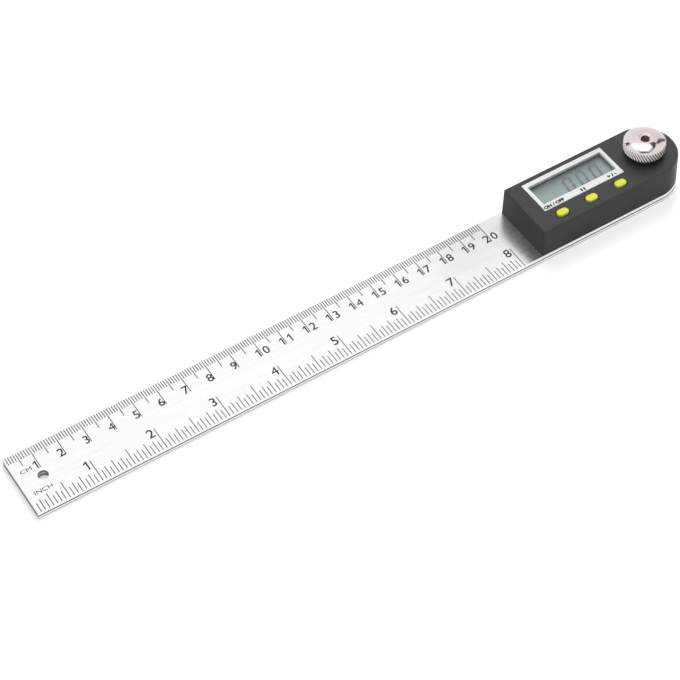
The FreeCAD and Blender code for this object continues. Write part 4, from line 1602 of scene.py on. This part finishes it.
WHITE_CARD = MirrorCard(
    "white_card",
    CardFinish("card_white", BLACK, glow=1.12),
    (
        (-0.33, -0.49, 0.81),
        (-0.10, -0.52, 0.85),
        (0.09, -0.53, 0.84),
        (0.19, -0.45, 0.87),
        (0.30, -0.21, 0.93),
        (0.18, -0.02, 0.98),
        (-0.06, -0.04, 1.0),
        (-0.26, -0.16, 0.95),
        (-0.36, -0.33, 0.87),
    ),
    0.85,
)
NEAR_CARD = MirrorCard(
    "near_card",
    CardFinish("card_glint", BLACK, glow=1.5),
    (
        (-0.33, -0.40, 0.86),
        (-0.10, -0.38, 0.92),
        (0.10, -0.38, 0.92),
        (0.21, -0.36, 0.91),
        (0.31, -0.19, 0.93),
        (0.18, 0.02, 0.98),
        (-0.06, 0.01, 1.0),
        (-0.27, -0.12, 0.95),
        (-0.37, -0.28, 0.88),
    ),
    0.12,
)
DIM_CARD = MirrorCard(
    "dim_card",
    CardFinish("card_dim", BLACK, glow=1.0, fade=0.10),
    (
        (-0.45, -0.65, 0.60),
        (0.10, -0.70, 0.70),
        (0.45, -0.66, 0.62),
        (0.62, -0.60, 0.48),
        (0.78, -0.52, 0.30),
        (0.60, -0.80, 0.22),
        (0.0, -0.92, 0.35),
        (-0.50, -0.80, 0.35),
    ),
    0.95,
)
RIGHT_CARD = MirrorCard(
    "right_card",
    CardFinish("card_grey", paint(96, 92, 92)),
    (
        (0.21, -0.47, 0.86),
        (0.34, -0.51, 0.79),
        (0.42, -0.45, 0.78),
        (0.43, -0.27, 0.87),
        (0.31, -0.06, 0.95),
        (0.31, -0.21, 0.93),
    ),
)
FRONT_CARD = MirrorCard(
    "front_card",
    CardFinish("card_dark", paint(70, 66, 66)),
    (
        (0.31, -0.20, 0.93),
        (0.33, -0.06, 0.95),
        (0.18, 0.07, 0.98),
        (-0.08, 0.08, 0.99),
        (-0.23, -0.02, 0.97),
        (-0.06, -0.03, 1.0),
        (0.18, -0.01, 0.98),
    ),
)
FAR_CARD = MirrorCard(
    "far_card",
    CardFinish("card_grey", paint(96, 92, 92)),
    (
        (0.42, -0.45, 0.78),
        (0.47, -0.62, 0.63),
        (0.64, -0.69, 0.33),
        (0.68, -0.62, 0.39),
        (0.59, -0.52, 0.62),
        (0.49, -0.40, 0.78),
    ),
)
LEFT_CARD = MirrorCard(
    "left_card",
    CardFinish("card_brown", paint(104, 94, 88)),
    (
        (-0.54, -0.50, 0.68),
        (-0.46, -0.52, 0.72),
        (-0.39, -0.49, 0.78),
        (-0.37, -0.40, 0.84),
        (-0.46, -0.37, 0.80),
        (-0.53, -0.37, 0.76),
    ),
    0.13,
)


@dataclass
class Studio:
    """Floor, background, lamps, cards and camera, in metres and degrees."""

    camera_stand: Point = (-0.39239, -0.43046, 0.60387)
    camera_aim: Point = (-0.14049, -0.00574, 0.003)
    camera_roll: float = -2.197
    lens: float = 113.93
    sensor: float = 36.0
    ambient: float = 0.42
    floor_side: float = 8.0
    floor_drop: float = 0.00004
    lamps: Tuple[SoftLamp, ...] = (
        SoftLamp("overhead_softbox", (-0.01, 0.21, 0.87), (-0.02, 0.0, 0.0), 0.58, 3.0),
        SoftLamp("key_softbox", (0.42, 0.70, 0.92), (-0.06, 0.0, 0.0), 0.45, 5.6),
    )
    cards: Tuple[MirrorCard, ...] = (
        WHITE_CARD,
        NEAR_CARD,
        DIM_CARD,
        RIGHT_CARD,
        FRONT_CARD,
        FAR_CARD,
        LEFT_CARD,
    )

    def build_camera(self) -> None:
        """Makes the camera and sets it as the scene's."""
        data = bpy.data.cameras.new("camera")
        data.sensor_width = self.sensor
        data.lens = self.lens
        data.clip_start = 0.01
        camera = bpy.data.objects.new("camera", data)
        stand, aim = Vector(self.camera_stand), Vector(self.camera_aim)
        level = (aim - stand).to_track_quat("-Z", "Y").to_matrix().to_4x4()
        roll = Matrix.Rotation(math.radians(self.camera_roll), 4, "Z")
        camera.matrix_world = Matrix.Translation(stand) @ level @ roll
        bpy.context.scene.collection.objects.link(camera)
        bpy.context.scene.camera = camera

    def build_floor(self, shelf: Shelf) -> None:
        """Makes the floor just below the object.

        Args:
            shelf: The finishes.
        """
        half = self.floor_side / 2
        corners = ((-half, -half), (half, -half), (half, half), (-half, half))
        mesh = bpy.data.meshes.new("floor")
        mesh.from_pydata([(x, y, -self.floor_drop) for x, y in corners], [], [(0, 1, 2, 3)])
        mesh.materials.append(shelf.take(StudioFloor("floor_white")))
        floor = bpy.data.objects.new("floor", mesh)
        bpy.context.scene.collection.objects.link(floor)

    def build_world(self) -> None:
        """Makes a world that is white where it is seen and dimmer where it lights."""
        world = bpy.data.worlds.new("studio")
        world.use_nodes = True
        sheet = Tree(world.node_tree)
        sheet.tree.nodes.clear()
        feeds = {"Value": sheet.seen(), "To Min": self.ambient, "To Max": 1.0}
        light = sheet.add("ShaderNodeMapRange", feeds)
        feeds = {"Color": WHITE, "Strength": light.outputs["Result"]}
        background = sheet.add("ShaderNodeBackground", feeds)
        sheet.add("ShaderNodeOutputWorld", {"Surface": background.outputs[0]})
        bpy.context.scene.world = world

    def build(self, shelf: Shelf) -> None:
        """Builds the whole studio.

        Args:
            shelf: The finishes.
        """
        bpy.context.scene.view_settings.view_transform = "Standard"
        self.build_camera()
        self.build_floor(shelf)
        self.build_world()
        for lamp in self.lamps:
            lamp.build()
        for card in self.cards:
            card.build(shelf)


def main() -> None:
    """Builds every sub-assembly in order."""
    logging.basicConfig(level=logging.INFO, format="%(message)s")
    shelf = Shelf()
    graduations = graduation_recipe()
    Studio().build(shelf)
    Blade("upper_blade", "head").build(graduations, shelf)
    Blade("lower_blade", "arm").build(graduations, shelf)
    Head().build(shelf)
    Display().build(bar_recipe(), shelf)
    BatteryCover().build(shelf)
    Pivot().build(shelf)
    LockKnob().build(turned_recipe(), shelf)


if __name__ == "__main__":
    main()
